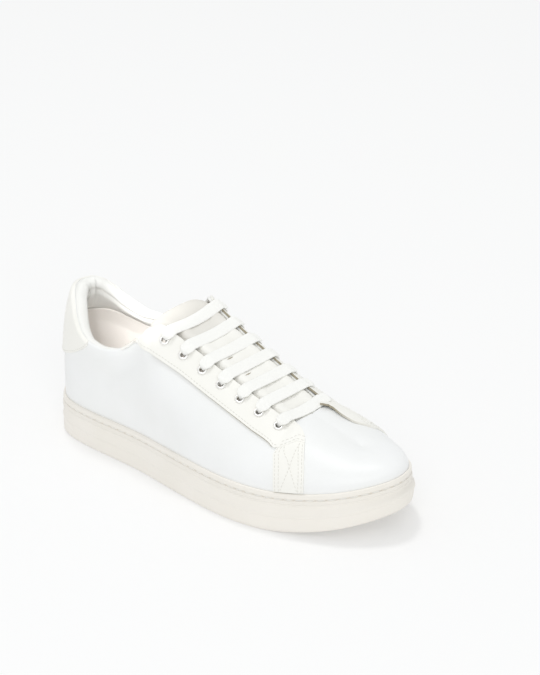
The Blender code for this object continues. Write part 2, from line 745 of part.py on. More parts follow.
def lace_bars(seats, into, look):
    """Seven straight bars, each from its lateral eyelet over the tongue to the medial one."""
    lift = GAP + 0.05 + OVERLAY + GAP + 0.65 + GAP + LACE_THICKNESS / 2
    half = LACE_THICKNESS / 2
    centres = {side: [bare_point(a, v) for a, v in rows] for side, rows in seats.items()}
    for number in range(EYELETS):
        low, high = max(number - 1, 0), min(number + 1, EYELETS - 1)
        run = sum(centres[side][high] - centres[side][low] for side in centres)
        run = run / np.linalg.norm(run)
        ends = []
        for side in ("lateral", "medial"):
            angle, v = seats[side][number]
            ends.append([upper_point(angle, v + (1 - v) * s, lift) for s in (0.0, 0.3, 0.6, 1.0)])
        lateral, medial = ends
        span = np.linalg.norm(medial[-1] - lateral[-1])
        pulls = []
        for side in (lateral, medial):
            pull = side[-1] - side[-2]
            pulls.append(pull / np.linalg.norm(pull) * span * LACE_ARCH)
        path = list(lateral)
        for s in (0.2, 0.4, 0.6, 0.8):
            h = (2 * s ** 3 - 3 * s ** 2 + 1, s ** 3 - 2 * s ** 2 + s, 3 * s ** 2 - 2 * s ** 3, s ** 2 - s ** 3)
            path.append(h[0] * lateral[-1] + h[1] * pulls[0] + h[2] * medial[-1] + h[3] * pulls[1])
        path += medial[::-1]
        widths = [LACE_END_WIDTH, 7.5] + [LACE_WIDTH] * (len(path) - 4) + [7.5, LACE_END_WIDTH]
        rings = []
        for i, (point, width) in enumerate(zip(path, widths)):
            heading = path[min(i + 1, len(path) - 1)] - path[max(i - 1, 0)]
            up = np.cross(run, heading)
            up = up / np.linalg.norm(up)
            w = width / 2
            ring = ((-w, 0), (-w + 0.6, half), (w - 0.6, half), (w, 0), (w - 0.6, -half), (-w + 0.6, -half))
            rings.append([point + run * x + up * z for x, z in ring])
        bm = bmesh.new()
        grid = add_grid(bm, rings, closed=True)
        bm.faces.new(grid[0])
        bm.faces.new(grid[-1][::-1])
        piece(f"lace_bar_{number + 1}", bm, look, into)


# ---- build ----
for old in list(bpy.data.objects):
    bpy.data.objects.remove(old, do_unlink=True)

parts = bpy.data.collections.new("sneaker")
tools = bpy.data.collections.new("cutters")
bpy.context.scene.collection.children.link(parts)
bpy.context.scene.collection.children.link(tools)

RUBBER = material("cream rubber", (0.93, 0.91, 0.87), 0.55)
LEATHER = material("white leather", (0.94, 0.95, 0.97), 0.45)
OFF_WHITE = material("off-white leather", (0.96, 0.955, 0.94), 0.5)
LINING = material("beige lining", (0.93, 0.89, 0.86), 0.8)

METAL = material("eyelet metal", (0.78, 0.78, 0.78), 0.3, 1.0)
LACE = material("off-white lace", (0.97, 0.965, 0.95), 0.8)

SEATS = eyelet_seats()
cupsole(parts, tools, RUBBER)
insole(parts, LINING)
shell = upper(parts, tools, LEATHER)
tongue(parts, OFF_WHITE)
opening = vamp_opening(tools)
for side in ("lateral", "medial"):
    stay = eyestay(side, opening, parts, tools, OFF_WHITE)
    eyelet_holes(side, SEATS[side], (shell, stay), tools)
heel_tab(parts, tools, OFF_WHITE)
eyelets(SEATS, parts, METAL)
lace_bars(SEATS, parts, LACE)
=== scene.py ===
import math

import bpy
import numpy as np
from mathutils import Matrix, Vector


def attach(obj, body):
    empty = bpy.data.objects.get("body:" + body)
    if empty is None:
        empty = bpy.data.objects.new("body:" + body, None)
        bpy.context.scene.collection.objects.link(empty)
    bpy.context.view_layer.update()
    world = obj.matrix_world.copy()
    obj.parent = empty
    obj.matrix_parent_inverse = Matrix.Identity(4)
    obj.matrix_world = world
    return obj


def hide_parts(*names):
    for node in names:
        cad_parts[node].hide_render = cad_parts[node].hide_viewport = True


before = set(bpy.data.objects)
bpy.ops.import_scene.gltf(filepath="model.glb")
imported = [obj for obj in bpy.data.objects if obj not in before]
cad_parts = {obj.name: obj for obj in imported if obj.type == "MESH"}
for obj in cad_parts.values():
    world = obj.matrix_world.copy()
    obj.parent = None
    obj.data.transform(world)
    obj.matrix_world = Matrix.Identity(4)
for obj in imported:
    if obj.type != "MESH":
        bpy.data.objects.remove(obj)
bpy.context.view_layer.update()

# ---- Studio ----
# A shoe on a glowing white table, shot with a long lens from in front of its
# lateral side. A small soft light hangs high behind its heel, a wide one fills
# from beside the camera, and the room is white, so only a short shadow lies
# under the toe.
CAMERA_AZIMUTH = math.radians(-49.85)
CAMERA_HEIGHT = math.radians(26.0)
CAMERA_ROLL = math.radians(-0.83)
CAMERA_DISTANCE = 2.8534
CAMERA_AIM = Vector((0.0015, 0.0017, 0.040))
CAMERA_ASIDE = 0.0421
CAMERA_UP = 0.0605

away = Vector((
    math.cos(CAMERA_HEIGHT) * math.cos(CAMERA_AZIMUTH),
    math.cos(CAMERA_HEIGHT) * math.sin(CAMERA_AZIMUTH),
    math.sin(CAMERA_HEIGHT),
))
level = Vector((-math.sin(CAMERA_AZIMUTH), math.cos(CAMERA_AZIMUTH), 0.0))
upright = away.cross(level)
right = level * math.cos(CAMERA_ROLL) + upright * math.sin(CAMERA_ROLL)
top = upright * math.cos(CAMERA_ROLL) - level * math.sin(CAMERA_ROLL)
bpy.ops.object.select_all(action="DESELECT")
bpy.ops.object.camera_add()
camera = bpy.context.object
camera.name = "camera"
camera.data.lens = 220.9
camera.data.sensor_width = 36.0
camera.data.shift_x = -0.0353
camera.data.shift_y = -0.0083
camera.data.clip_end = 50.0
place = CAMERA_AIM + away * CAMERA_DISTANCE + right * CAMERA_ASIDE + top * CAMERA_UP
camera.matrix_world = Matrix((
    (right.x, top.x, away.x, place.x),
    (right.y, top.y, away.y, place.y),
    (right.z, top.z, away.z, place.z),
    (0.0, 0.0, 0.0, 1.0),
))
bpy.context.scene.camera = camera


def linear(hex_colour):
    """An sRGB hex colour as linear values with full alpha."""
    parts = [int(hex_colour[i:i + 2], 16) / 255 for i in (1, 3, 5)]
    return (*[c / 12.92 if c <= 0.04045 else ((c + 0.055) / 1.055) ** 2.4 for c in parts], 1.0)


def blank(name, **values):
    """A new material with its shader's values, such as Sheen_Weight, and its tree."""
    made = bpy.data.materials.new(name)
    made.use_nodes = True
    shader = made.node_tree.nodes["Principled BSDF"]
    for socket, value in values.items():
        shader.inputs[socket.replace("_", " ")].default_value = value
    return made, made.node_tree, shader


# opal acrylic table, lit from below: it glows evenly, so only a faint shadow shows
opal, _, _ = blank(
    "opal acrylic table", Base_Color=linear("#dadada"), Roughness=0.9, Specular_IOR_Level=0.0,
    Emission_Color=linear("#ffffff"), Emission_Strength=0.25,
)
bpy.ops.mesh.primitive_plane_add(size=16.0)
sweep = bpy.context.object
sweep.name = "sweep"
sweep.data.materials.append(opal)

room = bpy.data.worlds.new("white room")
room.use_nodes = True
room.node_tree.nodes["Background"].inputs["Color"].default_value = linear("#feffff")
room.node_tree.nodes["Background"].inputs["Strength"].default_value = 0.76
bpy.context.scene.world = room


def facing(position, aim):
    """The turn of a lamp at a position that faces its aim."""
    return (Vector(aim) - Vector(position)).to_track_quat("-Z", "Y").to_euler()


def soft_light(name, position, aim, size, power):
    """A square soft box at a position in metres, turned to face its aim."""
    bpy.ops.object.light_add(type="AREA", location=position)
    lamp = bpy.context.object
    lamp.name = name
    lamp.data.shape = "SQUARE"
    lamp.data.size = size
    lamp.data.energy = power
    lamp.rotation_euler = facing(position, aim)


soft_light("key high behind the heel", (-0.5, 0.25, 2.5), (0.0, 0.0, 0.05), 0.4, 11.5)
soft_light("fill beside the camera", (1.45, -1.75, 1.6), (0.0, 0.0, 0.05), 1.6, 14.5)
# a narrow lamp above the opening lifts the lining, as a snoot does
SNOOT_PLACE = (0.469, -0.933, 1.089)
SNOOT_AIM = (-0.100, 0.034, 0.074)
bpy.ops.object.light_add(type="SPOT", location=SNOOT_PLACE)
snoot = bpy.context.object
snoot.name = "snoot over the collar"
snoot.data.energy = 120.0
snoot.data.spot_size = math.radians(2.9)
snoot.data.spot_blend = 1.0
snoot.data.shadow_soft_size = 0.02
snoot.rotation_euler = facing(SNOOT_PLACE, SNOOT_AIM)
bpy.context.scene.view_settings.view_transform = "Standard"


# ---- Cupsole ----
# One moulding of cream gum rubber: a cup with a thin rim round the upper, a
# stitched groove under the rim, a bead under that and one faint ridge along the
# forepart. It is cemented and side-stitched to the upper.
LENGTH = 297.0
MIDDLE = np.array([148.5, -1.74, 0.0])      # from the heel's end to the middle of the box
RIM_INSET = 0.5
MERGED = 0.02               # points nearer than this are one
SPRING_START = 0.70         # these two as shares of the length
SPRING_REACH = 0.30
TREAD_SPRING = 18.2
RIM_SPRING = 13.7
RIM_HEIGHT = 27.1
RIM_RISE = 2.4              # from the heel to the middle
TOE_FULLNESS = 1.7          # how far the wall swells round the toe


def table(columns, *rows):
    """A short table: one array for each named column."""
    return {name: np.array(values, float) for name, values in zip(columns.split(), zip(*rows))}


SOLE_PLAN = table(
    "x lateral medial",
    (4.5, 13.4, 13.1),
    (14.9, 26.2, 25.9),
    (35.6, 34.2, 35.2),
    (65.3, 37.8, 37.2),
    (98.0, 41.0, 35.2),
    (127.7, 46.6, 35.2),
    (157.4, 52.0, 40.2),
    (187.1, 55.3, 47.8),
    (216.8, 53.4, 51.8),
    (246.5, 45.4, 48.6),
    (270.3, 34.2, 38.8),
    (286.6, 20.2, 26.4),
)
# The side from the tread up: how far it stands out, its height as a share of the
# wall and how far that is below the rim.
SOLE_SIDE = table(
    "out share below",
    (-1.5, 0.00, 0.0),
    (-0.6, 0.00, -0.2),
    (-0.1, 0.03, 0.0),
    (0.05, 0.06, 0.0),
    (0.1, 0.20, 0.0),
    (0.12, 0.34, 0.0),
    (0.2, 0.37, 0.0),
    (0.5, 0.385, 0.0),
    (0.6, 0.40, 0.0),
    (0.5, 0.415, 0.0),
    (0.2, 0.44, 0.0),
    (0.1, 0.50, 0.0),
    (0.1, 1.00, 10.5),
    (0.1, 1.00, 9.2),
    (0.15, 1.00, 8.8),
    (0.45, 1.00, 8.5),
    (0.6, 1.00, 8.2),
    (0.6, 1.00, 7.6),
    (0.42, 1.00, 7.5),
    (0.42, 1.00, 7.3),
    (0.6, 1.00, 7.2),
    (0.6, 1.00, 6.8),
    (0.45, 1.00, 6.5),
    (0.15, 1.00, 6.2),
    (0.1, 1.00, 5.6),
    (0.0, 1.00, 5.1),
    (-0.3, 1.00, 4.95),
    (-0.8, 1.00, 4.85),
    (-0.85, 1.00, 4.45),
    (-0.8, 1.00, 4.05),
    (-0.3, 1.00, 3.9),
    (0.0, 1.00, 3.7),
    (0.12, 1.00, 3.0),
    (0.15, 1.00, 2.2),
    (0.1, 1.00, 1.3),
    (-0.05, 1.00, 0.6),
    (-0.35, 1.00, 0.15),
    (-0.8, 1.00, 0.0),
    (-1.3, 1.00, -0.1),
    (-1.65, 1.00, -0.1),
    (-1.78, 1.00, 0.1),
    (-1.78, 1.00, 1.2),
    (-1.5, 1.00, 9.0),
)


def smooth(knots, values):
    """Cubic curve through the values, smooth in slope and in bend."""
    k, v = np.asarray(knots, float), np.asarray(values, float)
    n, h = len(k), np.diff(k)
    rows, right_side = np.zeros((n, n)), np.zeros(n)
    rows[0, 0] = rows[-1, -1] = 1.0
    for i in range(1, n - 1):
        rows[i, i - 1:i + 2] = h[i - 1], 2 * (h[i - 1] + h[i]), h[i]
        right_side[i] = 6 * ((v[i + 1] - v[i]) / h[i] - (v[i] - v[i - 1]) / h[i - 1])
    bend = np.linalg.solve(rows, right_side)

    def at(t):
        i = np.clip(np.searchsorted(k, t) - 1, 0, n - 2)
        a, b, w = k[i + 1] - t, t - k[i], h[i]
        ends = (bend[i] * a ** 3 + bend[i + 1] * b ** 3) / (6 * w)
        return ends + (v[i] / w - bend[i] * w / 6) * a + (v[i + 1] / w - bend[i + 1] * w / 6) * b

    return at


def turn(x):
    """Angle round the last, from 0 at the heel to pi at the toe, for an X."""
    return np.arccos(np.clip(1 - 2 * np.asarray(x, float) / LENGTH, -1, 1))


def outline_curve():
    """The cupsole's half widths right round the last, lateral side negative in Y."""
    turns = turn(SOLE_PLAN["x"])
    turns = np.concatenate([[-math.pi], -turns[::-1], [0.0], turns, [math.pi]])
    values = np.concatenate([[2.2], SOLE_PLAN["medial"][::-1], [-0.2], -SOLE_PLAN["lateral"], [2.2]])
    once = 2 * math.pi
    return smooth(
        np.concatenate([turns[-4:-1] - once, turns, turns[1:4] + once]),
        np.concatenate([values[-4:-1], values, values[1:4]]),
    )


plan = outline_curve()


def outline(angles, inset=0.0):
    """Points of the cupsole's outline moved in by inset, and the ways outward there."""
    def on(a):
        return np.stack([LENGTH * (1 - np.cos(a)) / 2, plan(a)], -1)

    along = on(angles + 0.001) - on(angles - 0.001)
    outward = np.stack([along[:, 1], -along[:, 0]], -1) / np.linalg.norm(along, axis=1)[:, None]
    return on(angles) - outward * np.asarray(inset)[..., None], outward


def toe_spring(x):
    return np.maximum(0.0, (x / LENGTH - SPRING_START) / SPRING_REACH) ** 2


def tread_z(x):
    return TREAD_SPRING * toe_spring(x)


def rim_z(x):
    return RIM_HEIGHT + RIM_RISE * np.clip(x / (0.5 * LENGTH), 0.0, 1.0) + RIM_SPRING * toe_spring(x)


def metres(points):
    """Points in millimetres from the heel's end, in metres from the model's origin."""
    return (points - MIDDLE) / 1000


def laid_sheet(name, points, closed=False):
    """A grid primitive laid on rows of points in millimetres, its UVs in metres.
    closed merges its two ends."""
    rows, columns = points.shape[:2]
    bpy.ops.object.select_all(action="DESELECT")
    bpy.ops.mesh.primitive_grid_add(x_subdivisions=columns - 1, y_subdivisions=rows - 1, size=1.0)
    made = bpy.context.object
    made.name = made.data.name = name
    mesh = made.data
    places = metres(points)
    mesh.vertices.foreach_set("co", places.reshape(-1))
    across = np.linalg.norm(np.diff(places, axis=1), axis=2).mean(0)
    rising = np.linalg.norm(np.diff(places, axis=0), axis=2).mean(1)
    u, v = np.meshgrid(np.append(0, np.cumsum(across)), np.append(0, np.cumsum(rising)))
    corners = np.zeros(len(mesh.loops), int)
    mesh.loops.foreach_get("vertex_index", corners)
    mesh.uv_layers[0].data.foreach_set("uv", np.stack([u.ravel(), v.ravel()], -1)[corners].ravel())
    mesh.update()
    if closed:
        bpy.ops.object.mode_set(mode="EDIT")
        bpy.ops.mesh.select_all(action="SELECT")
        bpy.ops.mesh.remove_doubles(threshold=MERGED / 1000)
        bpy.ops.object.mode_set(mode="OBJECT")
    bpy.ops.object.shade_smooth()
    return made


def take(piece):
    """Select one piece alone and make it the active one."""
    bpy.ops.object.select_all(action="DESELECT")
    piece.select_set(True)
    bpy.context.view_layer.objects.active = piece


def keep(piece, look, slot, *nodes):
    """Give a finished piece its material and hide the solids that it stands for; slot is not used."""
    if not piece.data.materials:
        piece.data.materials.append(look)
    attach(piece, "root")
    if nodes:
        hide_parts(*nodes)
    return piece


def add(tree, kind, values=None, links=None, **settings):
    """Add a node of this kind with its settings, socket values and incoming links."""
    made = tree.nodes.new(kind)
    for name, value in settings.items():
        setattr(made, name, value)
    for socket, value in (values or {}).items():
        made.inputs[socket].default_value = value
    for socket, source in (links or {}).items():
        tree.links.new(source, made.inputs[socket])
    return made


def clouded(tree, shader, per_metre, detail, deep, light, span=(0.0, 1.0)):
    """Colour a material in soft clouds, so many to the metre, between two tones."""
    spot = add(tree, "ShaderNodeTexCoord")
    cloud = add(
        tree, "ShaderNodeTexNoise", {"Scale": per_metre, "Detail": detail},
        {"Vector": spot.outputs["Object"]},
    )
    tint = add(tree, "ShaderNodeValToRGB", None, {"Fac": cloud.outputs["Fac"]})
    for stop, position, tone in zip(tint.color_ramp.elements, span, (deep, light)):
        stop.position = position
        stop.color = linear(tone)
    tree.links.new(tint.outputs["Color"], shader.inputs["Base Color"])


def grained(tree, shader, per_metre, detail, strength, depth):
    """Give a material a fine grain, so many to the metre, of a depth in metres."""
    spot = add(tree, "ShaderNodeTexCoord")
    grain = add(
        tree, "ShaderNodeTexNoise", {"Scale": per_metre, "Detail": detail},
        {"Vector": spot.outputs["Object"]},
    )
    relief = add(
        tree, "ShaderNodeBump", {"Strength": strength, "Distance": depth}, {"Height": grain.outputs["Fac"]}
    )
    tree.links.new(relief.outputs["Normal"], shader.inputs["Normal"])


# gum rubber, moulded: satin, a little uneven in colour, in clouds 26 mm across,
# with the fine matte grain of the mould, drawn 1.5 mm apart so that it shows
rubber, tree, shader = blank("moulded gum rubber", Roughness=0.52, IOR=1.5)
clouded(tree, shader, 38.0, 2.0, "#f0ece4", "#f2eee7", (0.35, 0.7))
grained(tree, shader, 650.0, 4.0, 0.35, 0.0002)

around = np.linspace(-math.pi, math.pi, 421)
toe_wall = TOE_FULLNESS * np.clip((LENGTH * (1 - np.cos(around)) / 2 - 235) / 50, 0, 1)
side_rows = []
for out, share, below in zip(*SOLE_SIDE.values()):
    ring, _ = outline(around, RIM_INSET * share - out - toe_wall * math.sin(math.pi * share))
    low, high = tread_z(ring[:, 0]), rim_z(ring[:, 0])
    side_rows.append(np.column_stack([ring, np.maximum(low + (high - low) * share - below, low)]))
# under the foot: a flat border 3.5 mm wide, then a step up to the tread's ground
for inset, lift in ((4.8, 0.0), (5.1, 0.1), (5.3, 0.4), (5.3, 1.2), (7.5, 1.5)):
    ring, _ = outline(around, inset)
    side_rows.insert(0, np.column_stack([ring, tread_z(ring[:, 0]) + lift]))
wall = laid_sheet("sole_moulding", np.array(side_rows), closed=True)

# the tread: ridges in shallow waves, flat where they meet the floor, but none
# under the arch of the foot
TREAD_ENDS = (9.0, 288.0)
TREAD_INSET = 5.2
RIDGE_HEIGHT = 1.2
RIDGE_STEP = 6.0
RIDGE_WAVE = 24.0
RIDGE_SWING = 3.0
SMOOTH_MIDDLE = 116.0
SMOOTH_REACH = 22.0
tread_rows = []
for x in np.linspace(*TREAD_ENDS, 330):
    low, high = (outline(np.array([side * turn(x)]), TREAD_INSET)[0][0] for side in (1, -1))
    y = np.linspace(low[1], high[1], 61)
    wave = np.cos(2 * math.pi * (x + RIDGE_SWING * np.cos(2 * math.pi * y / RIDGE_WAVE)) / RIDGE_STEP)
    ridged = np.clip((abs(x - SMOOTH_MIDDLE) - SMOOTH_REACH) / 6, 0, 1)
    height = RIDGE_HEIGHT * np.clip(0.5 - 1.6 * wave, 0, 1) * ridged + 0.5 * (1 - ridged)
    tread_rows.append(np.column_stack([np.full(61, (low[0] + high[0]) / 2), y, tread_z(x) + height]))
tread = laid_sheet("sole_tread", np.array(tread_rows))
take(wall)
tread.select_set(True)
bpy.ops.object.join()
keep(wall, rubber, "cream rubber", "cupsole")


# ---- Stitching ----
# White bonded polyester thread. Each visible stitch is a short rounded run that
# dips into its holes at both ends; they are laid one after another on a seam.
STITCH_SHARE = 0.80         # of each step of the seam; the rest is the hole
SOLE_PITCH = 7.6
SOLE_THREAD = 0.85
STITCH_DIP = 0.25           # of its thickness, at both ends
GROOVE_MIDDLE = 4.45        # below the rim
GROOVE_DEPTH = 0.84         # from the wall's face


def length_along(points):
    """How far along a line of points each of them is."""
    return np.append(0, np.cumsum(np.linalg.norm(np.diff(points, axis=0), axis=1)))


def stitch_row(name, path, normals, pitch, thick, look, slot):
    """Lay stitches along a path in millimetres, each sunk at its ends."""
    run = length_along(path)
    count = max(1, int(run[-1] / pitch))
    middles = (np.arange(count) + 0.5) * run[-1] / count
    ways = np.gradient(path, axis=0)
    centre, way, up = (
        np.stack([np.interp(middles, run, field[:, k]) for k in range(3)], -1)
        for field in (path, ways, normals)
    )
    way /= np.linalg.norm(way, axis=1)[:, None]
    up -= way * (up * way).sum(1)[:, None]
    up /= np.linalg.norm(up, axis=1)[:, None]
    beside = np.cross(up, way)
    bpy.ops.object.select_all(action="DESELECT")
    bpy.ops.mesh.primitive_uv_sphere_add(segments=6, ring_count=5, radius=1.0)
    one = bpy.context.object
    shape = np.array([v.co[:] for v in one.data.vertices])
    faces = [tuple(p.vertices) for p in one.data.polygons]
    bpy.data.objects.remove(one)
    length = run[-1] / count * STITCH_SHARE / 2
    points = (
        centre[:, None]
        + way[:, None] * (shape[:, 2] * length)[None, :, None]
        + beside[:, None] * (shape[:, 0] * thick / 2)[None, :, None]
        + up[:, None] * (shape[:, 1] * thick / 2 - STITCH_DIP * thick * shape[:, 2] ** 2)[None, :, None]
    ).reshape(-1, 3)
    mesh = bpy.data.meshes.new(name)
    all_faces = [tuple(i + n * len(shape) for i in f) for n in range(count) for f in faces]
    mesh.from_pydata(metres(points).tolist(), [], all_faces)
    made = bpy.data.objects.new(name, mesh)
    bpy.context.scene.collection.objects.link(made)
    mesh.shade_smooth()
    return keep(made, look, slot)


# spun polyester: soft sheen, and its twist, drawn 0.55 mm wide so that it shows
thread, tree, shader = blank(
    "bonded polyester thread", Base_Color=linear("#f1f0ec"), Roughness=0.55, Sheen_Weight=0.2
)
grained(tree, shader, 1800.0, 2.0, 0.4, 0.0001)

groove, outward = outline(around, RIM_INSET + GROOVE_DEPTH - 0.22)
groove = np.column_stack([groove, rim_z(groove[:, 0]) - GROOVE_MIDDLE + 0.03])
outward = np.column_stack([outward, np.zeros(len(around))])
stitch_row("sole_stitching", groove, outward, SOLE_PITCH, SOLE_THREAD, thread, "off-white lace")

# the channel the stitches lie in: the same rubber, painted darker and browner in
# blotches 11 mm across, as painted shade at the bottom of the groove
groove_shade_rubber, tree, shader = blank("rubber with painted groove shade", Roughness=0.7)
clouded(tree, shader, 90.0, 2.0, "#b9a98f", "#ded4c4", (0.35, 0.7))
bed, _ = outline(around, RIM_INSET + GROOVE_DEPTH)
bed_z = rim_z(bed[:, 0]) - GROOVE_MIDDLE
bed_rows = np.array([np.column_stack([bed, bed_z + lift]) for lift in (-0.33, 0.0, 0.33)])
keep(laid_sheet("stitch_channel", bed_rows, closed=True), groove_shade_rubber, "cream rubber")


# ---- Upper ----
# Smooth white calf leather, 1.4 mm, lasted over the foot's form in one vamp and
# two quarters. It stands inside the cup, is closed on the crown of the vamp and
# is open at the throat and collar, where it is turned over the padding.
GAP = 0.3                   # between the pieces
RIM_THICKNESS = 1.5
FLOOR_HEIGHT = 16.0         # of the cup, inside
FLOOR_FALL = 7.0            # from a quarter of the length to seven tenths
WALL = 2.0
COLLAR_WALL = 8.0
LEATHER = 1.4
COLLAR_SEAM = 0.30          # where over the turned edge the leather ends
UPPER_LATERAL = table(
    "foot x y z slope rise reach",
    (0.0, 11.0, 0.0, 107.5, 66, 0.36, 0.28),
    (4.0, 13.5, -8.0, 107.5, 67, 0.36, 0.28),
    (10.0, 17.5, -14.0, 105.5, 69, 0.36, 0.28),
    (20.0, 24.0, -20.5, 99.5, 72, 0.36, 0.29),
    (31.0, 31.0, -26.3, 91.8, 75, 0.36, 0.30),
    (42.0, 38.5, -30.3, 85.8, 77, 0.36, 0.30),
    (54.0, 47.0, -32.8, 82.0, 79, 0.36, 0.30),
    (68.0, 59.0, -33.8, 81.0, 80, 0.36, 0.30),
    (83.0, 72.0, -33.8, 83.6, 79, 0.36, 0.30),
    (96.0, 84.0, -33.4, 89.2, 75, 0.36, 0.30),
    (107.0, 93.5, -32.6, 96.6, 67, 0.36, 0.30),
    (115.0, 99.5, -31.0, 103.6, 56, 0.36, 0.31),
    (121.0, 103.2, -27.5, 108.0, 45, 0.36, 0.32),
    (128.0, 108.0, -22.5, 108.8, 37, 0.36, 0.34),
    (142.0, 122.0, -20.6, 103.0, 34, 0.35, 0.36),
    (160.0, 145.0, -19.0, 92.8, 30, 0.34, 0.38),
    (180.0, 168.0, -17.6, 82.8, 27, 0.33, 0.40),
    (199.0, 191.0, -16.0, 73.2, 23, 0.32, 0.42),
    (214.0, 208.0, -14.8, 66.6, 19, 0.31, 0.43),
    (224.0, 214.0, -10.8, 64.2, 12, 0.31, 0.44),
    (232.0, 217.4, -3.8, 65.0, 5, 0.31, 0.45),
    (239.0, 218.8, 3.2, 65.4, 1, 0.31, 0.45),
    (252.0, 232.5, 3.5, 62.7, 5, 0.31, 0.44),
    (265.0, 242.5, 3.8, 60.2, 8, 0.31, 0.42),
    (277.0, 250.5, 4.0, 58.0, 11, 0.32, 0.40),
    (289.0, 256.2, 4.1, 56.4, 15, 0.33, 0.38),
    (297.0, 258.0, 4.2, 55.9, 17, 0.33, 0.38),
)
# The medial side has the same sections, with their tops at these other places.
MEDIAL_TOPS = table(
    "y z",
    (0.0, 107.5), (8.0, 107.5), (14.0, 105.5), (20.9, 98.9), (26.6, 90.6), (30.6, 84.6),
    (33.2, 80.9), (34.6, 80.4), (35.2, 83.4), (35.6, 89.4), (35.8, 97.0), (35.0, 104.0),
    (32.2, 108.4), (27.6, 109.2), (25.4, 103.2), (24.0, 92.8), (23.2, 82.8), (22.2, 73.2),
    (21.0, 66.8), (17.0, 64.4), (10.2, 65.1), (3.2, 65.4),
)
RIDGE_START = float(turn(239.0))    # from here to the toe both sides meet
CROWN = 14.0                        # how far down each side that meeting is rounded
# Creases from lasting and wear, as troughs in side view: their two ends, how deep
# in the middle, how wide, and the side. A negative depth is a soft ridge.
CREASES = table(
    "x1 z1 x2 z2 depth width lateral",
    (60.0, 58.0, 112.0, 88.0, 1.50, 5.5, 1),
    (52.0, 68.0, 98.0, 90.0, -0.60, 4.5, 1),
    (62.0, 48.0, 122.0, 74.0, -0.25, 8.0, 1),
    (24.0, 60.0, 52.0, 50.0, 0.25, 6.0, 1),
    (132.0, 58.0, 176.0, 50.0, 0.18, 9.0, 1),
    (236.0, 48.0, 262.0, 42.0, 0.15, 8.0, 1),
    (46.0, 56.0, 104.0, 88.0, 0.45, 5.0, 0),
    (60.0, 48.0, 116.0, 72.0, -0.25, 8.0, 0),
    (128.0, 62.0, 180.0, 50.0, 0.25, 8.0, 0),
    (26.0, 60.0, 54.0, 50.0, 0.20, 6.0, 0),
)


def steady(knots, values):
    """Curve through the values that never swings past them."""
    k, v = np.asarray(knots, float), np.asarray(values, float)
    h = np.diff(k)
    steps = np.diff(v) / h
    slopes = np.concatenate([[steps[0]], np.zeros(len(k) - 2), [steps[-1]]])
    for i in range(1, len(k) - 1):
        if steps[i - 1] * steps[i] > 0:
            w1, w2 = 2 * h[i] + h[i - 1], h[i] + 2 * h[i - 1]
            slopes[i] = (w1 + w2) / (w1 / steps[i - 1] + w2 / steps[i])

    def at(t):
        i = np.clip(np.searchsorted(k, t) - 1, 0, len(k) - 2)
        s = (t - k[i]) / h[i]
        pull = (s * (1 - s) ** 2 * slopes[i] - s ** 2 * (1 - s) * slopes[i + 1]) * h[i]
        return v[i] + (v[i + 1] - v[i]) * s * s * (3 - 2 * s) + pull

    return at


def floor_z(x):
    fall = np.clip((x / LENGTH - 0.25) / 0.45, 0.0, 1.0)
    return tread_z(x) + FLOOR_HEIGHT - FLOOR_FALL * fall * fall * (3 - 2 * fall)


def upper_curves():
    """One steady curve round the last for each column of the sections' table."""
    turns = turn(UPPER_LATERAL["foot"])
    knots = np.concatenate([-turns[:0:-1], turns])
    curves = {}
    for name, lateral in UPPER_LATERAL.items():
        medial = lateral.copy()
        if name in MEDIAL_TOPS:
            medial[:len(MEDIAL_TOPS[name])] = MEDIAL_TOPS[name]
        curves[name] = steady(knots, np.concatenate([medial[:0:-1], lateral]))
    return curves


upper_curve = upper_curves()


def sections(angles):
    """The four control points of the upper's section at each angle."""
    foot, outward = outline(angles, RIM_INSET + RIM_THICKNESS + GAP)
    shared = np.where(abs(angles) >= RIDGE_START, abs(angles), angles)
    summit = np.stack([upper_curve[name](shared) for name in "xyz"], -1)
    out = np.column_stack([outward, np.zeros(len(angles))])
    up = np.array([0.0, 0.0, 1.0])
    low = np.column_stack([foot, rim_z(foot[:, 0])])
    chord = np.linalg.norm(summit - low, axis=1)[:, None]
    slope = np.radians(upper_curve["slope"](angles))[:, None]
    rise, reach = (upper_curve[name](angles)[:, None] for name in ("rise", "reach"))
    return (
        low,
        low + (up + 0.03 * out) * rise * chord,
        summit + (out * np.cos(slope) - up * np.sin(slope)) * reach * chord,
        summit,
    )


def bare_face(angles, heights):
    """Points of the last's form: a column for each angle, its heights running from 0
    at the rim to 1 at the top."""
    v = np.broadcast_to(heights, (len(angles), np.shape(heights)[-1]))[..., None]
    a, b, c, d = (corner[:, None] for corner in sections(angles))
    u = 1 - v
    points = a * u ** 3 + 3 * b * u * u * v + 3 * c * u * v * v + d * v ** 3
    off = np.linalg.norm((points - d)[..., :2], axis=2)
    steep = np.tan(np.radians(upper_curve["slope"](angles)))[:, None]
    sunk = steep * np.clip(CROWN - off, 0, None) ** 2 / (2 * CROWN)
    points[..., 2] -= np.where(abs(angles)[:, None] >= RIDGE_START, sunk, 0.0)
    return points


def crease(points, lateral):
    """How far the creases move each point inward."""
    moved = np.zeros(points.shape[:-1])
    for x1, z1, x2, z2, depth, width, where in zip(*CREASES.values()):
        dx, dz = x2 - x1, z2 - z1
        t = ((points[..., 0] - x1) * dx + (points[..., 2] - z1) * dz) / (dx * dx + dz * dz)
        near = np.clip(t, 0, 1)
        off = np.hypot(points[..., 0] - x1 - near * dx, points[..., 2] - z1 - near * dz)
        fade = np.sin(math.pi * np.clip(0.06 + 0.88 * t, 0, 1))
        moved += np.where(lateral == where, depth * fade * np.exp(-(off / width) ** 2), 0.0)
    return moved


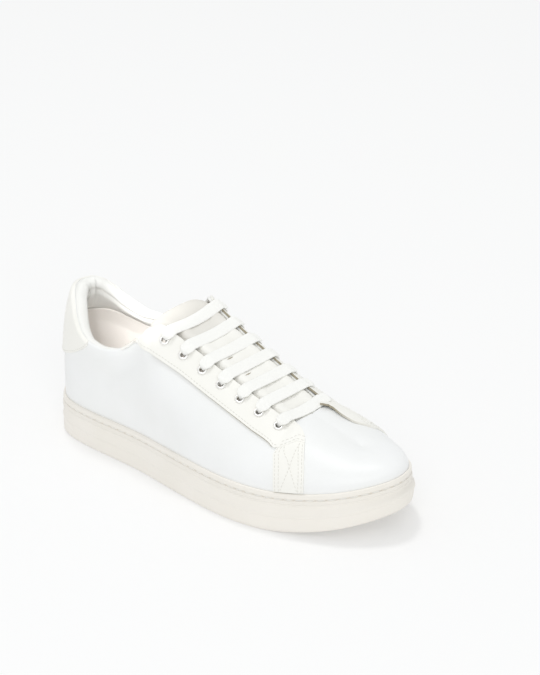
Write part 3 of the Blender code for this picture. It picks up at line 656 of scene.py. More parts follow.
def skin(angles, heights, out=0.0):
    """Points on or off the upper's creased outer face, and its outward normals."""
    angles = np.asarray(angles, float)
    v = np.clip(heights, 0, 0.985)
    along = bare_face(angles + 0.004, v) - bare_face(angles - 0.004, v)
    rising = bare_face(angles, v + 0.01) - bare_face(angles, v - 0.01)
    normals = np.cross(along, rising)
    normals /= np.linalg.norm(normals, axis=2)[..., None]
    points = bare_face(angles, heights)
    lift = out - crease(points, (angles > 0)[:, None])
    return points + normals * lift[..., None], normals


def padding(angles, heights):
    """Thickness of the whole wall: padded round the collar, thin elsewhere."""
    rear = np.interp(upper_curve["x"](angles), (30.0, 70.0, 100.0), (1.0, 0.5, 0.0))[:, None]
    return WALL + (COLLAR_WALL - WALL) * rear * np.interp(heights, (0.5, 0.88), (0.0, 1.0))


def edge_rise(angles):
    """How high the turned edge stands over its foot, none where the sides meet."""
    thick = padding(angles, np.array([1.0]))[:, 0]
    return (0.8 + 0.24 * thick) * np.clip((RIDGE_START - abs(angles)) / 0.12, 0, 1)


def edge_foot(angles):
    """Height in the section at which the turned edge begins."""
    a, _, c, d = sections(angles)
    return 1 - edge_rise(angles) / (3 * np.linalg.norm(d - c, axis=1))


def turned_edge(angles, shares, out=0.0):
    """Points on or off the turned edge, from its outer foot at 0 to its inner one at 1."""
    foot = edge_foot(angles)[:, None]
    tops, normals = skin(angles, np.concatenate([foot - 0.02, foot], 1))
    rising = tops[:, 1] - tops[:, 0]
    rising /= np.linalg.norm(rising, axis=1)[:, None]
    half = padding(angles, foot) / 2
    turned = math.pi * np.asarray(shares)[None, :, None]
    seam = 1 - 0.05 * np.exp(-((np.asarray(shares) - COLLAR_SEAM) / 0.03) ** 2)[None, :, None]
    lift = np.broadcast_to(out, (len(angles), len(shares)))[..., None]
    return (
        (tops[:, 1] - normals[:, 1] * half)[:, None]
        + normals[:, 1][:, None] * (half[:, :, None] * seam + lift) * np.cos(turned)
        + rising[:, None] * (edge_rise(angles)[:, None, None] * seam + lift) * np.sin(turned)
    )


def finish_wall(piece, thickness, rounding=0.0):
    """Give a sheet its thickness inward, and round its cut edges."""
    bpy.context.view_layer.objects.active = piece
    wall = piece.modifiers.new("wall", "SOLIDIFY")
    wall.thickness = thickness / 1000
    wall.offset = -1.0
    wall.material_offset_rim = max(len(piece.data.materials) - 1, 0)
    bpy.ops.object.modifier_apply(modifier=wall.name)
    if rounding:
        edges = piece.modifiers.new("edges", "BEVEL")
        edges.width = rounding / 1000
        edges.segments = 3
        edges.limit_method = "ANGLE"
        edges.angle_limit = math.radians(50)
        bpy.ops.object.modifier_apply(modifier=edges.name)


# the eyelets stand EYELET_INSET in from the throat's edge, one step apart in X
EYELETS = 7
FIRST_EYELET = 114.4
EYELET_STEP = 16.0
EYELET_INSET = 9.0
EYELET_REACH = (110.0, 232.0)       # where they are looked for
HOLE = 2.6                  # its radius


def eyelet_seats(side):
    """Angle and height of the eyelets of a side, 1 lateral and -1 medial."""
    angles = side * np.linspace(*turn(EYELET_REACH), 400)
    heights = np.linspace(0.6, 1.0, 401)
    columns = bare_face(angles, heights)
    off = np.linalg.norm(columns - columns[:, -1:], axis=2)
    places = [int(np.searchsorted(-row, -EYELET_INSET)) for row in off]
    x = columns[np.arange(400), places, 0]
    picked = np.interp(FIRST_EYELET + EYELET_STEP * np.arange(EYELETS), x, np.arange(400))
    return angles[picked.round().astype(int)], heights[places][picked.round().astype(int)]


seats = {side: eyelet_seats(side) for side in (1, -1)}
seat_points = {}
seat_normals = {}
for side, (angles, heights) in seats.items():
    points, normals = skin(angles, heights[:, None])
    seat_points[side], seat_normals[side] = points[:, 0], normals[:, 0]


def pick(piece, kind, chosen):
    """Open a piece for editing with only these vertices or faces of it selected."""
    take(piece)
    bpy.ops.object.mode_set(mode="EDIT")
    bpy.ops.mesh.select_mode(type=kind)
    bpy.ops.mesh.select_all(action="DESELECT")
    bpy.ops.object.mode_set(mode="OBJECT")
    parts = piece.data.vertices if kind == "VERT" else piece.data.polygons
    parts.foreach_set("select", chosen)
    bpy.ops.object.mode_set(mode="EDIT")


def punch(piece, radius):
    """Open a hole at each eyelet; its flange covers the cut."""
    centres = metres(np.concatenate(list(seat_points.values())))
    middles = np.array([face.center[:] for face in piece.data.polygons])
    near = np.linalg.norm(middles[:, None] - centres, axis=2).min(1)
    pick(piece, "FACE", near < radius / 1000)
    bpy.ops.mesh.delete(type="FACE")
    bpy.ops.object.mode_set(mode="OBJECT")


def calf(name, full, hollow, coat, pebble_size):
    """Coated calf leather: its colour, a slightly deeper one in places 38 mm apart,
    the roughness of its coat and the width of its pebbling in metres."""
    made, tree, shader = blank(name, Roughness=coat, IOR=1.48)
    clouded(tree, shader, 26.0, 3.0, hollow, full, (0.3, 0.65))
    spot = add(tree, "ShaderNodeTexCoord")
    pebble = add(
        tree, "ShaderNodeTexVoronoi", {"Scale": 1 / pebble_size}, {"Vector": spot.outputs["Object"]},
        feature="SMOOTH_F1",
    )
    fine = add(
        tree, "ShaderNodeBump", {"Strength": 0.25, "Distance": 0.00012},
        {"Height": pebble.outputs["Distance"]},
    )
    # the hide's own swells, 18 mm apart
    swells = add(
        tree, "ShaderNodeTexNoise", {"Scale": 55.0, "Detail": 2.0}, {"Vector": spot.outputs["Object"]}
    )
    soft = add(
        tree, "ShaderNodeBump", {"Strength": 0.5, "Distance": 0.0005},
        {"Height": swells.outputs["Fac"], "Normal": fine.outputs["Normal"]},
    )
    tree.links.new(soft.outputs["Normal"], shader.inputs["Normal"])
    return made


# smooth full-grain calf, drum-dyed and lightly coated: cool white, satin, with
# soft unevenness where the hide is fuller and pebbling 1.1 mm across
white_calf = calf("drum-dyed white calf", "#f4f5f5", "#f1f2f1", 0.42, 0.0011)

# the cut edge of the leather: matte, greyish tan as painted shade along the edge and in
# gaps, fading to white towards the toe; its blotches are drawn 1.4 mm apart so that they show
painted_edge_shade, tree, shader = blank("leather edge with painted shade", Roughness=0.9)
clouded(tree, shader, 700.0, 3.0, "#8d846f", "#c0b8a5")
edge_shade_tones = shader.inputs["Base Color"].links[0].from_socket
spot = add(tree, "ShaderNodeTexCoord")
parts = add(tree, "ShaderNodeSeparateXYZ", None, {"Vector": spot.outputs["Object"]})
front = add(
    tree, "ShaderNodeMapRange", {"From Min": 0.078, "From Max": 0.096}, {"Value": parts.outputs["X"]}
)
shade_fade_to_white = add(
    tree, "ShaderNodeMix", {7: linear("#efede6")}, {0: front.outputs["Result"], 6: edge_shade_tones}, data_type="RGBA"
)
tree.links.new(shade_fade_to_white.outputs[2], shader.inputs["Base Color"])

half_round = np.append(np.linspace(0, RIDGE_START, 190), np.linspace(RIDGE_START, math.pi, 52)[1:])
round_last = np.append(-half_round[:0:-1], half_round)
heights = np.linspace(0, 1, 58) * edge_foot(round_last)[:, None]
face, _ = skin(round_last, heights)
skirt = face[:, :1].copy()
skirt[..., 2] = floor_z(skirt[..., 0]) + GAP
edge = turned_edge(round_last, np.linspace(0, COLLAR_SEAM, 6)[1:])
shell = np.concatenate([skirt, face, edge], 1)
meeting = abs(round_last) >= RIDGE_START
shell[meeting, -6:] = ((shell[:, -6:-5] + shell[::-1, -6:-5]) / 2)[meeting]
upper = laid_sheet("quarters_and_vamp", shell.transpose(1, 0, 2), closed=True)
punch(upper, HOLE)
# the leather is drawn smooth where its form turns: at the toe, where the meeting
# of both sides ends in a soft dome, and where the quarter rises to the eyestay
DRAWN = table(
    "x y z radius times",
    (256.0, 4.1, 56.0, 11.0, 60),
    (104.0, -43.0, 70.0, 20.0, 50),
    (104.0, -42.0, 80.0, 26.0, 12),
)
places = np.array([vertex.co[:] for vertex in upper.data.vertices]) * 1000 + MIDDLE
for *centre, radius, times in zip(*DRAWN.values()):
    pick(upper, "VERT", np.linalg.norm(places - centre, axis=1) < radius)
    bpy.ops.mesh.vertices_smooth(factor=0.5, repeat=int(times))
    bpy.ops.object.mode_set(mode="OBJECT")
finish_wall(upper, LEATHER)
keep(upper, white_calf, "white leather", "upper")


# ---- Collar and lining ----
# A soft white synthetic rolls over the foam of the collar and is sewn to a
# brushed beige lining, which covers the wall down to the insole.
COLLAR_CLOTH = 0.5
LINING_CLOTH = 0.4
LINING_HOLE = 3.2           # wider than the leather's
LINING_SUNK = 0.45          # how far its outer face lies in the wall
SEAM_END = 112.0            # ahead of this the lining goes up to the edge
FOAM = 3.4                  # how far it stands in at the heel
FOAM_END = 1.25             # as an angle round the last
CREST = 2.6                 # how high the cloth rolls over the turned edge
LINING_SEAM = table(
    "x z",
    (5.0, 80.0),
    (20.0, 78.5),
    (33.0, 74.5),
    (49.0, 69.5),
    (62.0, 68.0),
    (76.0, 70.5),
    (92.0, 80.5),
    (106.0, 94.0),
)
HEEL_FOLDS = table("middle width depth", (-0.08, 0.035, 2.0), (-0.30, 0.045, 1.6), (0.45, 0.05, 0.9))


def inner_skin(angles, heights, inside=0.0):
    """Points of the wall's inner face."""
    points, normals = skin(angles, heights)
    return points - normals * (padding(angles, heights) + inside)[..., None]


# polyurethane-coated cloth over foam: smooth, matte, warm white, its grain drawn
# 1.1 mm apart so that it shows
collar_cloth, tree, shader = blank("coated collar cloth", Roughness=0.6, Sheen_Weight=0.15)
clouded(tree, shader, 900.0, 3.0, "#f0f0ec", "#f4f4f1")
grained(tree, shader, 900.0, 3.0, 0.3, 0.00015)

# brushed nylon: pinky beige, very matte, a fine nap in tufts 0.9 mm apart
lining_cloth, tree, shader = blank("brushed nylon lining", Roughness=0.85, Sheen_Weight=0.3)
clouded(tree, shader, 1100.0, 4.0, "#f9f4ee", "#fcf8f4")
grained(tree, shader, 1100.0, 4.0, 0.5, 0.0002)

opening = np.linspace(-RIDGE_START, RIDGE_START, 361)
fine_heights = np.linspace(0.2, 1.0, 161)
inner = inner_skin(opening, fine_heights)
above = inner[..., 2] - np.interp(inner[..., 0], LINING_SEAM["x"], LINING_SEAM["z"])
seam_heights = fine_heights[np.argmax(above > 0, axis=1)]
seam_heights = np.where(abs(opening) > turn(SEAM_END), 1.0, seam_heights)
seam_heights = np.minimum(seam_heights, edge_foot(opening) - 0.06)
seam_heights = np.convolve(np.pad(seam_heights, 4, mode="edge"), np.ones(9) / 9, mode="valid")


def heel_folds(points, angles):
    """Upright folds in the cloth inside the back of the heel."""
    depth = np.zeros(points.shape[:-1])
    for middle, width, deep in zip(*HEEL_FOLDS.values()):
        high = np.clip((points[..., 2] - 80) / 12, 0, 1) * np.clip((105 - points[..., 2]) / 6, 0, 1)
        depth += deep * high * np.exp(-((angles[:, None] - middle) / width) ** 2)
    return depth


def swell(angles):
    """How far the collar's foam stands in over the wall, most at the heel."""
    return FOAM * np.clip(1 - (angles / FOAM_END) ** 2, 0, 1)


shares = np.linspace(1, 0, 24)[:, None]
collar_heights = (seam_heights + (edge_foot(opening) - seam_heights) * (1 - shares)).T
down = inner_skin(opening, collar_heights)
# the seam pulls the cloth into the wall, less towards the throat
pinch = 0.9 * np.exp(-((1 - shares.T) / 0.10) ** 2)
pinch = pinch * np.interp(abs(opening), (1.1, 1.4), (1.0, 0.2))[:, None]
_, ways = skin(opening, collar_heights)
full = swell(opening)[:, None] * np.sin(0.72 * math.pi * (1 - shares.T))
down = down + ways * (pinch + heel_folds(down, opening) - full)[..., None]
roll_shares = np.linspace(1, COLLAR_SEAM - 0.02, 16)
crest = CREST * np.sin(math.pi * np.clip((roll_shares - COLLAR_SEAM) / (1 - COLLAR_SEAM), 0, 1))
crest = crest * np.interp(opening, (-1.42, -1.34, 0.4, 0.8), (0.0, 1.0, 0.8, 0.0))[:, None]
roll_lift = full[:, -1:] * np.clip((roll_shares - 0.4) / 0.6, 0, 1) ** 0.8 + crest
roll = turned_edge(opening, roll_shares, roll_lift)[:, 1:]
collar_rows = np.concatenate([down, roll], 1).transpose(1, 0, 2)
collar = laid_sheet("collar_lining", collar_rows[:, ::-1])
finish_wall(collar, COLLAR_CLOTH)
keep(collar, collar_cloth, "off-white leather")

lining_top = np.where(abs(round_last) < RIDGE_START, np.interp(round_last, opening, seam_heights), 1.0)
lining_heights = np.linspace(0, 1, 30) * lining_top[:, None]
wall_in = inner_skin(round_last, lining_heights, -LINING_SUNK)
foot_in = wall_in[:, :1].copy()
foot_in[..., 2] = floor_z(foot_in[..., 0]) + GAP + 1.0
lining = laid_sheet("lining", np.concatenate([foot_in, wall_in], 1)[::-1].transpose(1, 0, 2), closed=True)
punch(lining, LINING_HOLE)
finish_wall(lining, LINING_CLOTH)
keep(lining, lining_cloth, "beige lining")

for slot in bpy.data.objects["insole"].material_slots:
    slot.material = lining_cloth


# ---- Tongue ----
# Milled calf over a thin foam, turned and sewn at the edges and sewn to the lining
# in front. It lies under the laces, with its rounded end above them, and has a
# pair of slits that the lace can be run through.
TONGUE_WALL = 3.2
TONGUE_BINDING = 0.9        # how thick its edges are
TONGUE = table(
    "along half_width arch slip",
    (-6.5, 12.0, 0.40, 6.5),
    (-5.5, 17.0, 0.40, 6.5),
    (-3.0, 21.5, 0.40, 6.5),
    (3.0, 24.0, 0.42, 6.3),
    (24.0, 25.6, 0.56, 4.6),
    (60.0, 25.8, 0.92, 2.3),
    (110.0, 25.0, 1.10, 1.0),
    (132.0, 22.0, 1.15, 0.0),
)
TONGUE_NOD = 0.10
TONGUE_CLEAR = 0.9          # under the wall
TONGUE_REACH = (121.0, 249.0)       # X of the throat's ends
SLITS = ((154.5, -6.0), (170.5, -6.0))      # X and Y of the middle of each
SLIT_REACH = 3.2
SLIT_GAPE = 0.45
# how far each bar of the lace presses the foam in, and over what length
PRESSED = np.array([1.0, 1.3, 1.0, 0.8, 0.3, 0.0, 0.0])
PRESS_REACH = 5.0
# how far the foam stands up inside the throat's edges
FOAM_RISE = table("inside rise", (0.2, 0.0), (1.0, 1.6), (2.5, 2.5), (4.0, 2.8))


def bridge(a, b, pull_a, pull_b, shares):
    """A smooth span between two points with a pull at each."""
    s = np.asarray(shares)[:, None]
    return (
        (2 * s ** 3 - 3 * s ** 2 + 1) * a + (s ** 3 - 2 * s ** 2 + s) * pull_a
        + (3 * s ** 2 - 2 * s ** 3) * b + (s ** 2 - s ** 3) * pull_b
    )


def pull_from(points, amount):
    way = points[-1] - points[-2]
    return way / np.linalg.norm(way) * amount


def throat_line(angle, drop, arch):
    """Points right across the throat at an angle, drop below the upper's face."""
    steps = np.linspace(0.7, 1.0, 9)
    lateral, medial = skin([angle, -angle], steps, -drop)[0]
    span = np.linalg.norm(medial[-1] - lateral[-1])
    if span < 0.5:
        return np.concatenate([lateral, medial[-2::-1]])
    pulls = [pull_from(points, span * arch) for points in (lateral, medial)]
    over = bridge(lateral[-1], medial[-1], *pulls, np.linspace(0, 1, 17)[1:-1])
    return np.concatenate([lateral, over, medial[::-1]])


def along_line(points, distances, centre):
    """Points at these distances along a line from its point nearest centre."""
    steps = length_along(points)
    middle = np.interp(centre, points[:, 1], steps)
    return np.stack([np.interp(middle + distances, steps, points[:, k]) for k in range(3)], -1)


def ridge_y(x):
    return 2.3 + 1.9 * min(max((x - 100) / 158, 0.0), 1.0)


throat_angles = np.linspace(*turn(TONGUE_REACH), 65)
throat_lines = [throat_line(a, WALL + TONGUE_CLEAR, 1.0) for a in throat_angles]
middles = np.array([along_line(line, np.zeros(1), ridge_y(150.0))[0] for line in throat_lines])
throat_run = length_along(middles)
back = (middles[0] - middles[4]) / np.linalg.norm(middles[0] - middles[4])
arch_at, half_width_at, slip_at = (
    steady(TONGUE["along"], TONGUE[name]) for name in ("arch", "half_width", "slip")
)
tongue_rows, puffs = [], []
across = np.linspace(-1, 1, 45)
ends = np.array([-6.5, -6.4, -6.2, -5.9, -5.5, -5.0, -4.2, -3.2, -2.0, -0.5])
for along in np.append(ends, np.linspace(1.5, 130, 74)):
    angle = float(np.interp(along, throat_run, throat_angles))
    line = throat_line(angle, WALL + TONGUE_CLEAR, float(arch_at(along)))
    past = max(-along, 0.0)
    line = line + back * past - np.array([0.0, 0.0, TONGUE_NOD]) * past ** 2
    middle = ridge_y(line[len(line) // 2][0]) - float(slip_at(along))
    steps = length_along(line)
    centre = np.interp(middle, line[:, 1], steps)
    wide = float(half_width_at(along))
    reaches = across * np.where(across > 0, min(1.16 * wide, steps[-1] - centre - 0.5), wide)
    tongue_row = along_line(line, reaches, middle)
    tongue_rows.append(tongue_row)
    behind_bars = tongue_row[:, :1] - FIRST_EYELET - EYELET_STEP * np.arange(EYELETS) - 1.0
    pressed = (PRESSED * np.exp(-(behind_bars / PRESS_REACH) ** 2)).max(1)
    # the foam stands up between the throat's edges, most beside them
    on_line = centre + reaches
    inside = np.clip(np.minimum(on_line - steps[8], steps[-9] - on_line), 0, None)
    swollen = np.interp(inside, FOAM_RISE["inside"], FOAM_RISE["rise"])
    swollen = swollen * np.exp(-(np.clip(inside - 4.5, 0, None) / 6) ** 2)
    puffs.append(swollen * np.clip(along / 20, 0, 1) - pressed)
top_side = np.array(tongue_rows)
ways = np.cross(np.gradient(top_side, axis=1), np.gradient(top_side, axis=0))
ways /= np.linalg.norm(ways, axis=2)[..., None]
ways *= np.where(ways[..., 2:] < 0, -1, 1)
# the edges thin to their binding, and the end is a full round
rounding = np.clip((np.arange(len(top_side)) / 6.0), 0, 1)[:, None, None] ** 0.5
rim = (1 - abs(across) ** 10)[None, :, None] * rounding
thick = TONGUE_BINDING + (TONGUE_WALL - TONGUE_BINDING) * rim
sunk = 0.55 * (1 - rim)
top_side = top_side + ways * np.array(puffs)[..., None]
upper_side = top_side - ways * sunk
under_side = top_side - ways * (sunk + thick)
loop = np.concatenate([upper_side, under_side[:, ::-1], upper_side[:, :1]], 1)
tongue = laid_sheet("padded_tongue", loop)


def close_ends(piece):
    """Merge the seam and fill the open ends of a lofted piece, faces outward."""
    take(piece)
    bpy.ops.object.mode_set(mode="EDIT")
    bpy.ops.mesh.select_all(action="SELECT")
    bpy.ops.mesh.remove_doubles(threshold=MERGED / 1000)
    bpy.ops.mesh.select_all(action="DESELECT")
    bpy.ops.mesh.select_mode(type="EDGE")
    bpy.ops.mesh.select_non_manifold()
    bpy.ops.mesh.edge_face_add()
    bpy.ops.mesh.select_all(action="SELECT")
    bpy.ops.mesh.normals_make_consistent(inside=False)
    bpy.ops.object.mode_set(mode="OBJECT")
    bpy.ops.object.shade_smooth_by_angle(angle=math.radians(60))


close_ends(tongue)
# milled calf, softer and a touch warmer than the quarters, its pebbling 1.2 mm
# across, and greyed towards the tongue's end
tongue_calf = calf("off-white calf greyed at its end", "#f7f6f1", "#f3f2ec", 0.5, 0.0012)
tree = tongue_calf.node_tree
shader = tree.nodes["Principled BSDF"]
spot = add(tree, "ShaderNodeTexCoord")
parts = add(tree, "ShaderNodeSeparateXYZ", None, {"Vector": spot.outputs["Object"]})
end_greying = add(
    tree, "ShaderNodeMapRange", {"From Min": -0.012, "From Max": -0.028}, {"Value": parts.outputs["X"]}
)
greyed = add(tree, "ShaderNodeMix", {7: linear("#e2dfd8")}, {0: end_greying.outputs["Result"]}, data_type="RGBA")
tree.links.new(shader.inputs["Base Color"].links[0].from_socket, greyed.inputs[6])
tree.links.new(greyed.outputs[2], shader.inputs["Base Color"])
keep(tongue, tongue_calf, "off-white leather", "tongue")

# the two slits, cut across the tongue: a thin dark lens in each, as painted shade in the slit
for number, (x, y) in enumerate(SLITS, 1):
    row = int(np.argmin(abs(top_side[:, 22, 0] - x)))
    at_y = np.linspace(y - SLIT_REACH, y + SLIT_REACH, 25)
    order = np.argsort(top_side[row, :, 1])
    row_y, row_points = top_side[row, order, 1], upper_side[row, order]
    middle = np.stack([np.interp(at_y, row_y, row_points[:, k]) for k in range(3)], -1)
    wide = SLIT_GAPE * np.sin(math.pi * np.linspace(0, 1, 25))[:, None] + 0.03
    heading = upper_side[row + 1, 22] - upper_side[row, 22]
    heading = heading / np.linalg.norm(heading)
    lens = [middle + heading * wide * share + ways[row, 22] * 0.12 for share in (-1.0, 0.0, 1.0)]
    slit = laid_sheet(f"lace_keeper_slit_{number}", np.array(lens)[::-1])
    keep(slit, painted_edge_shade, "off-white leather")


# ---- Eyestays, straps and heel tab ----
# Panels of the same milled leather, 1.2 mm, skived at the edges and sewn on over
# the quarters. Each strap runs under the end of its eyestay and down into the cup.
SIDES = ((1, "lateral"), (-1, "medial"))
OVERLAY = 1.2
LIES = 0.06                         # a panel's underside over the upper's face
EDGE_ROUND = 0.3
OUTER = GAP + 0.05 + OVERLAY        # a panel's face over the upper's
SKIVED = 0.35                       # how much lower a strap's face is
FOOT = 0.012                        # the panels' lowest height in the section
EDGE_SHADE_FROM = 110.0                    # behind this an eyestay's cut edge has no painted shade
EDGE_SHADE_UNTIL = {1: 216.0, -1: 250.0}        # and from here on it has none either
STAND = 2.0                         # how far the medial end stands off the vamp
STAND_REACH = 30.0
EYESTAY_EDGE = table(
    "x z",
    (84.0, 98.8),
    (94.0, 96.0),
    (103.0, 94.0),
    (113.0, 91.2),
    (134.0, 84.2),
    (154.0, 76.4),
    (176.0, 68.4),
    (197.0, 61.0),
    (207.0, 58.0),
    (213.0, 56.0),
    (216.0, 54.4),
)
STRAP_REAR = table(
    "x z",
    (219.4, 51.6),
    (222.4, 48.1),
    (225.0, 43.5),
    (226.8, 38.0),
    (227.8, 31.0),
    (228.0, 25.0),
)
VAMP_EDGE = {
    1: table(
        "x y",
        (213.0, 3.4),
        (214.5, -12.0),
        (220.0, -13.4),
        (226.0, -15.9),
        (231.4, -19.8),
        (236.2, -26.2),
        (241.2, -32.9),
        (245.9, -38.6),
        (248.6, -43.0),
        (250.0, -62.0),
    ),
    -1: table(
        "x y",
        (213.0, 3.4),
        (219.0, 18.5),
        (232.0, 17.0),
        (242.0, 19.5),
        (250.0, 30.0),
        (253.6, 62.0),
    ),
}
SEAM_CORNER = {1: -24.0, -1: 30.0}      # Y of the front end of each eyestay's lower seam
TAB_REACH = 58.0
TAB_EDGE = table(
    "x z",
    (-10.0, 55.4),
    (4.0, 57.6),
    (19.0, 61.8),
    (32.0, 67.6),
    (43.5, 75.0),
    (53.0, 85.0),
)


def meet(low, high, over):
    """Where a line is crossed between pairs of (angle, height) seats."""
    for _ in range(24):
        middle = (low + high) / 2
        past = over(bare_face(middle[:, 0], middle[:, 1:])[:, 0])[:, None]
        low, high = np.where(past, low, middle), np.where(past, middle, high)
    return middle


def over_edge(edge):
    return lambda p: p[:, 2] > np.interp(p[:, 0], edge["x"], edge["z"])


def past_edge(edge):
    """Test for points beyond a line in plan, on the side of the toe."""
    line = np.column_stack([edge["x"], edge["y"]])
    runs = np.diff(line, axis=0)

    def past(p):
        off = p[:, None, :2] - line[:-1]
        t = np.clip((off * runs).sum(2) / (runs ** 2).sum(1), 0, 1)
        away = off - t[..., None] * runs
        nearest = np.argmin((away ** 2).sum(2), axis=1)
        each = np.arange(len(p))
        turned = np.cross(runs[nearest], away[each, nearest])
        return turned * np.sign(edge["y"][-1]) < 0

    return past


def soft_line(seats_on, spread):
    """Ease the corners of a cut line of seats, but not its ends."""
    padded = np.pad(seats_on, ((spread, spread), (0, 0)), mode="reflect", reflect_type="odd")
    window = np.ones(2 * spread + 1) / (2 * spread + 1)
    return np.stack([np.convolve(padded[:, k], window, mode="valid") for k in range(2)], -1)


def panel(name, low, high, rows, out, look, slot, *nodes, holes=0.0, over=(), lift=0.0, edge_shade_look=None):
    """A cut panel between a lower and an upper line of seats on the upper's face,
    carried over the turned edge by these shares of it, and lifted off the face."""
    shares = np.linspace(0, 1, rows)[:, None, None]
    grid = low * (1 - shares) + high * shares
    flat = grid.reshape(-1, 2)
    lifts = np.broadcast_to(out + np.asarray(lift), grid.shape[:2]).reshape(-1, 1)
    points, ways = (field.reshape(*grid.shape[:2], 3) for field in skin(flat[:, 0], flat[:, 1:], lifts))
    if len(over):
        lifts = out * np.linspace(1.0, 0.35, len(over))
        points = np.concatenate([points, turned_edge(high[:, 0], over, lifts).transpose(1, 0, 2)])
    row, column = rows // 2, points.shape[1] // 2
    across = points[row, column + 1] - points[row, column]
    rising = points[row + 1, column] - points[row, column]
    if np.cross(across, rising) @ ways[row, column] < 0:
        points = points[:, ::-1]
    made = laid_sheet(name, points)
    made.data.materials.append(look)
    # an edge look given here is painted shade on the panel's cut edges
    if edge_shade_look:
        made.data.materials.append(edge_shade_look)
    if holes:
        punch(made, holes)
    finish_wall(made, out - LIES, EDGE_ROUND)
    take(made)
    bpy.ops.object.shade_smooth_by_angle(angle=math.radians(50))
    return keep(made, look, slot, *nodes)


# the same milled leather without the greying at the tongue's end
soft_calf = calf("milled off-white calf", "#f7f6f1", "#f3f2ec", 0.5, 0.0012)
panel_lines, strap_lines = {}, {}
for side, name in SIDES:
    # the front edge, as seats from the throat's end down to the cup, found along
    # lines that fan out from a seat in the middle of the panel's end
    fan = np.radians(np.linspace(125, -75, 220))
    hub = np.tile([side * float(turn(228.0)), 0.35], (220, 1))
    rays = np.column_stack([side * np.cos(fan), 1.3 * np.sin(fan)])
    front = meet(hub, hub + rays, past_edge(VAMP_EDGE[side]))
    front = front[(front[:, 1] < 0.99) & (front[:, 1] > FOOT)]
    front_points = bare_face(front[:, 0], front[:, 1:])[:, 0]
    corner = int(np.argmin(abs(front_points[:, 1] - SEAM_CORNER[side])))
    # the lower edge, from the collar to the strap, and then the seam to the front
    reach = np.linspace(float(turn(93.5)), float(turn(236.0)), 200) * side
    low = np.column_stack([reach, np.full(200, FOOT)])
    high = np.column_stack([reach, np.full(200, 0.995)])
    lower = meet(low, high, over_edge(EYESTAY_EDGE))
    lower_points = bare_face(lower[:, 0], lower[:, 1:])[:, 0]
    lower = lower[lower_points[:, 0] < 219.2]
    seam = lower[-1] + (front[corner] - lower[-1]) * np.linspace(0, 1, 34)[1:, None]
    lower = np.concatenate([lower, seam])
    throat_turns = np.linspace(lower[0, 0], front[0, 0], 190)
    by_collar = np.interp(abs(throat_turns), (float(turn(106.0)), float(turn(124.0))), (1.0, 0.0))
    throat_heights = 0.992 + (edge_foot(throat_turns) - 0.004 - 0.992) * by_collar
    throat = np.column_stack([throat_turns, throat_heights])
    higher = np.concatenate([throat, front[1:corner + 1]])
    where = np.linspace(0, len(higher) - 1, len(lower))
    higher = np.stack([np.interp(where, np.arange(len(higher)), higher[:, k]) for k in range(2)], -1)
    panel_lines[side] = lower, higher, front, corner
    # the medial end stands off the vamp at the throat, where the tongue is sewn in
    grid = lower + (higher - lower) * np.linspace(0, 1, 30)[:, None, None]
    spots = bare_face(grid[..., 0].reshape(-1), grid[..., 1].reshape(-1, 1)).reshape(30, -1, 3)
    gaps = np.linalg.norm(spots - bare_face(front[:1, 0], front[:1, 1:])[0, 0], axis=2)
    stand = STAND * np.clip(1 - gaps / STAND_REACH, 0, 1) ** 1.2 if side == -1 else 0.0
    stay = panel(
        "eyestay_panel_" + name, soft_line(lower, 3), soft_line(higher, 3), 30, OUTER, soft_calf,
        "off-white leather", "eyestay_" + name, holes=HOLE, lift=stand, edge_shade_look=painted_edge_shade,
    )
    # the cut edge keeps its painted shade only between these two lengths
    for face in stay.data.polygons:
        if not EDGE_SHADE_FROM < face.center.x * 1000 + MIDDLE[0] < EDGE_SHADE_UNTIL[side]:
            face.material_index = 0
    # the strap goes 5 mm up under the eyestay's end
    rear_heights = np.linspace(FOOT, seam[0, 1] + 0.05, 80)
    low = np.column_stack([np.full(80, side * float(turn(205.0))), rear_heights])
    high = np.column_stack([np.full(80, side * float(turn(250.0))), rear_heights])
    strap_x, strap_z = STRAP_REAR["x"][::-1], STRAP_REAR["z"][::-1]
    rear = meet(low, high, lambda p: p[:, 0] > np.interp(p[:, 2], strap_z, strap_x))
    edge_heights = np.linspace(FOOT, front[corner, 1] + 0.03, 80)
    edge_seats = np.stack([np.interp(edge_heights, front[::-1, 1], front[::-1, k]) for k in range(2)], -1)
    strap_lines[side] = rear, edge_seats
    panel("strap_" + name, rear, edge_seats, 28, OUTER - SKIVED, soft_calf, "off-white leather")

tab_round = np.linspace(-turn(TAB_REACH), turn(TAB_REACH), 161)
low = np.column_stack([tab_round, np.full(161, 0.02)])
high = np.column_stack([tab_round, edge_foot(tab_round)])
tab_low = meet(low, high, over_edge(TAB_EDGE))
inside_tab = tab_low[:, 1] < high[:, 1] - 0.012
tab_low, tab_high = soft_line(tab_low[inside_tab], 2), high[inside_tab]
panel(
    "heel_tab_panel", tab_low, tab_high, 40, OUTER, soft_calf, "off-white leather", "heel_tab",
    over=np.linspace(0.04, 0.26, 6),
)


# The panels' seams, in a thinner thread: single along eyestay and heel tab, double
# round each strap, with a cross sewn over it. A row is a line of seats.
EYESTAY_SEAM = 0.030        # these three in heights of the section over the edge
END_SEAMS = (0.022, 0.068)
TAB_SEAM = 0.022
STRAP_SEAMS = (0.06, 0.18, 0.83, 0.94)      # shares of the way across the strap
STRAP_CROSS = ((0.80, 0.27), (0.22, 0.85))
SEAM_PITCH = 2.6
SEAM_THREAD = 0.55
SEAM_LIES = 0.04            # over the panel's face
# a greyer thread than the sole's: the grey is painted shade, standing in for the shaded needle holes along
# the seams
panel_thread = thread.copy()
panel_thread.name = "thin bonded polyester thread"
panel_thread.node_tree.nodes["Principled BSDF"].inputs["Base Color"].default_value = linear("#e4e3dc")


def sew(name, row, out):
    path, ways = (field[:, 0] for field in skin(row[:, 0], row[:, 1:], out))
    stitch_row(name, path, ways, SEAM_PITCH, SEAM_THREAD, panel_thread, "off-white lace")


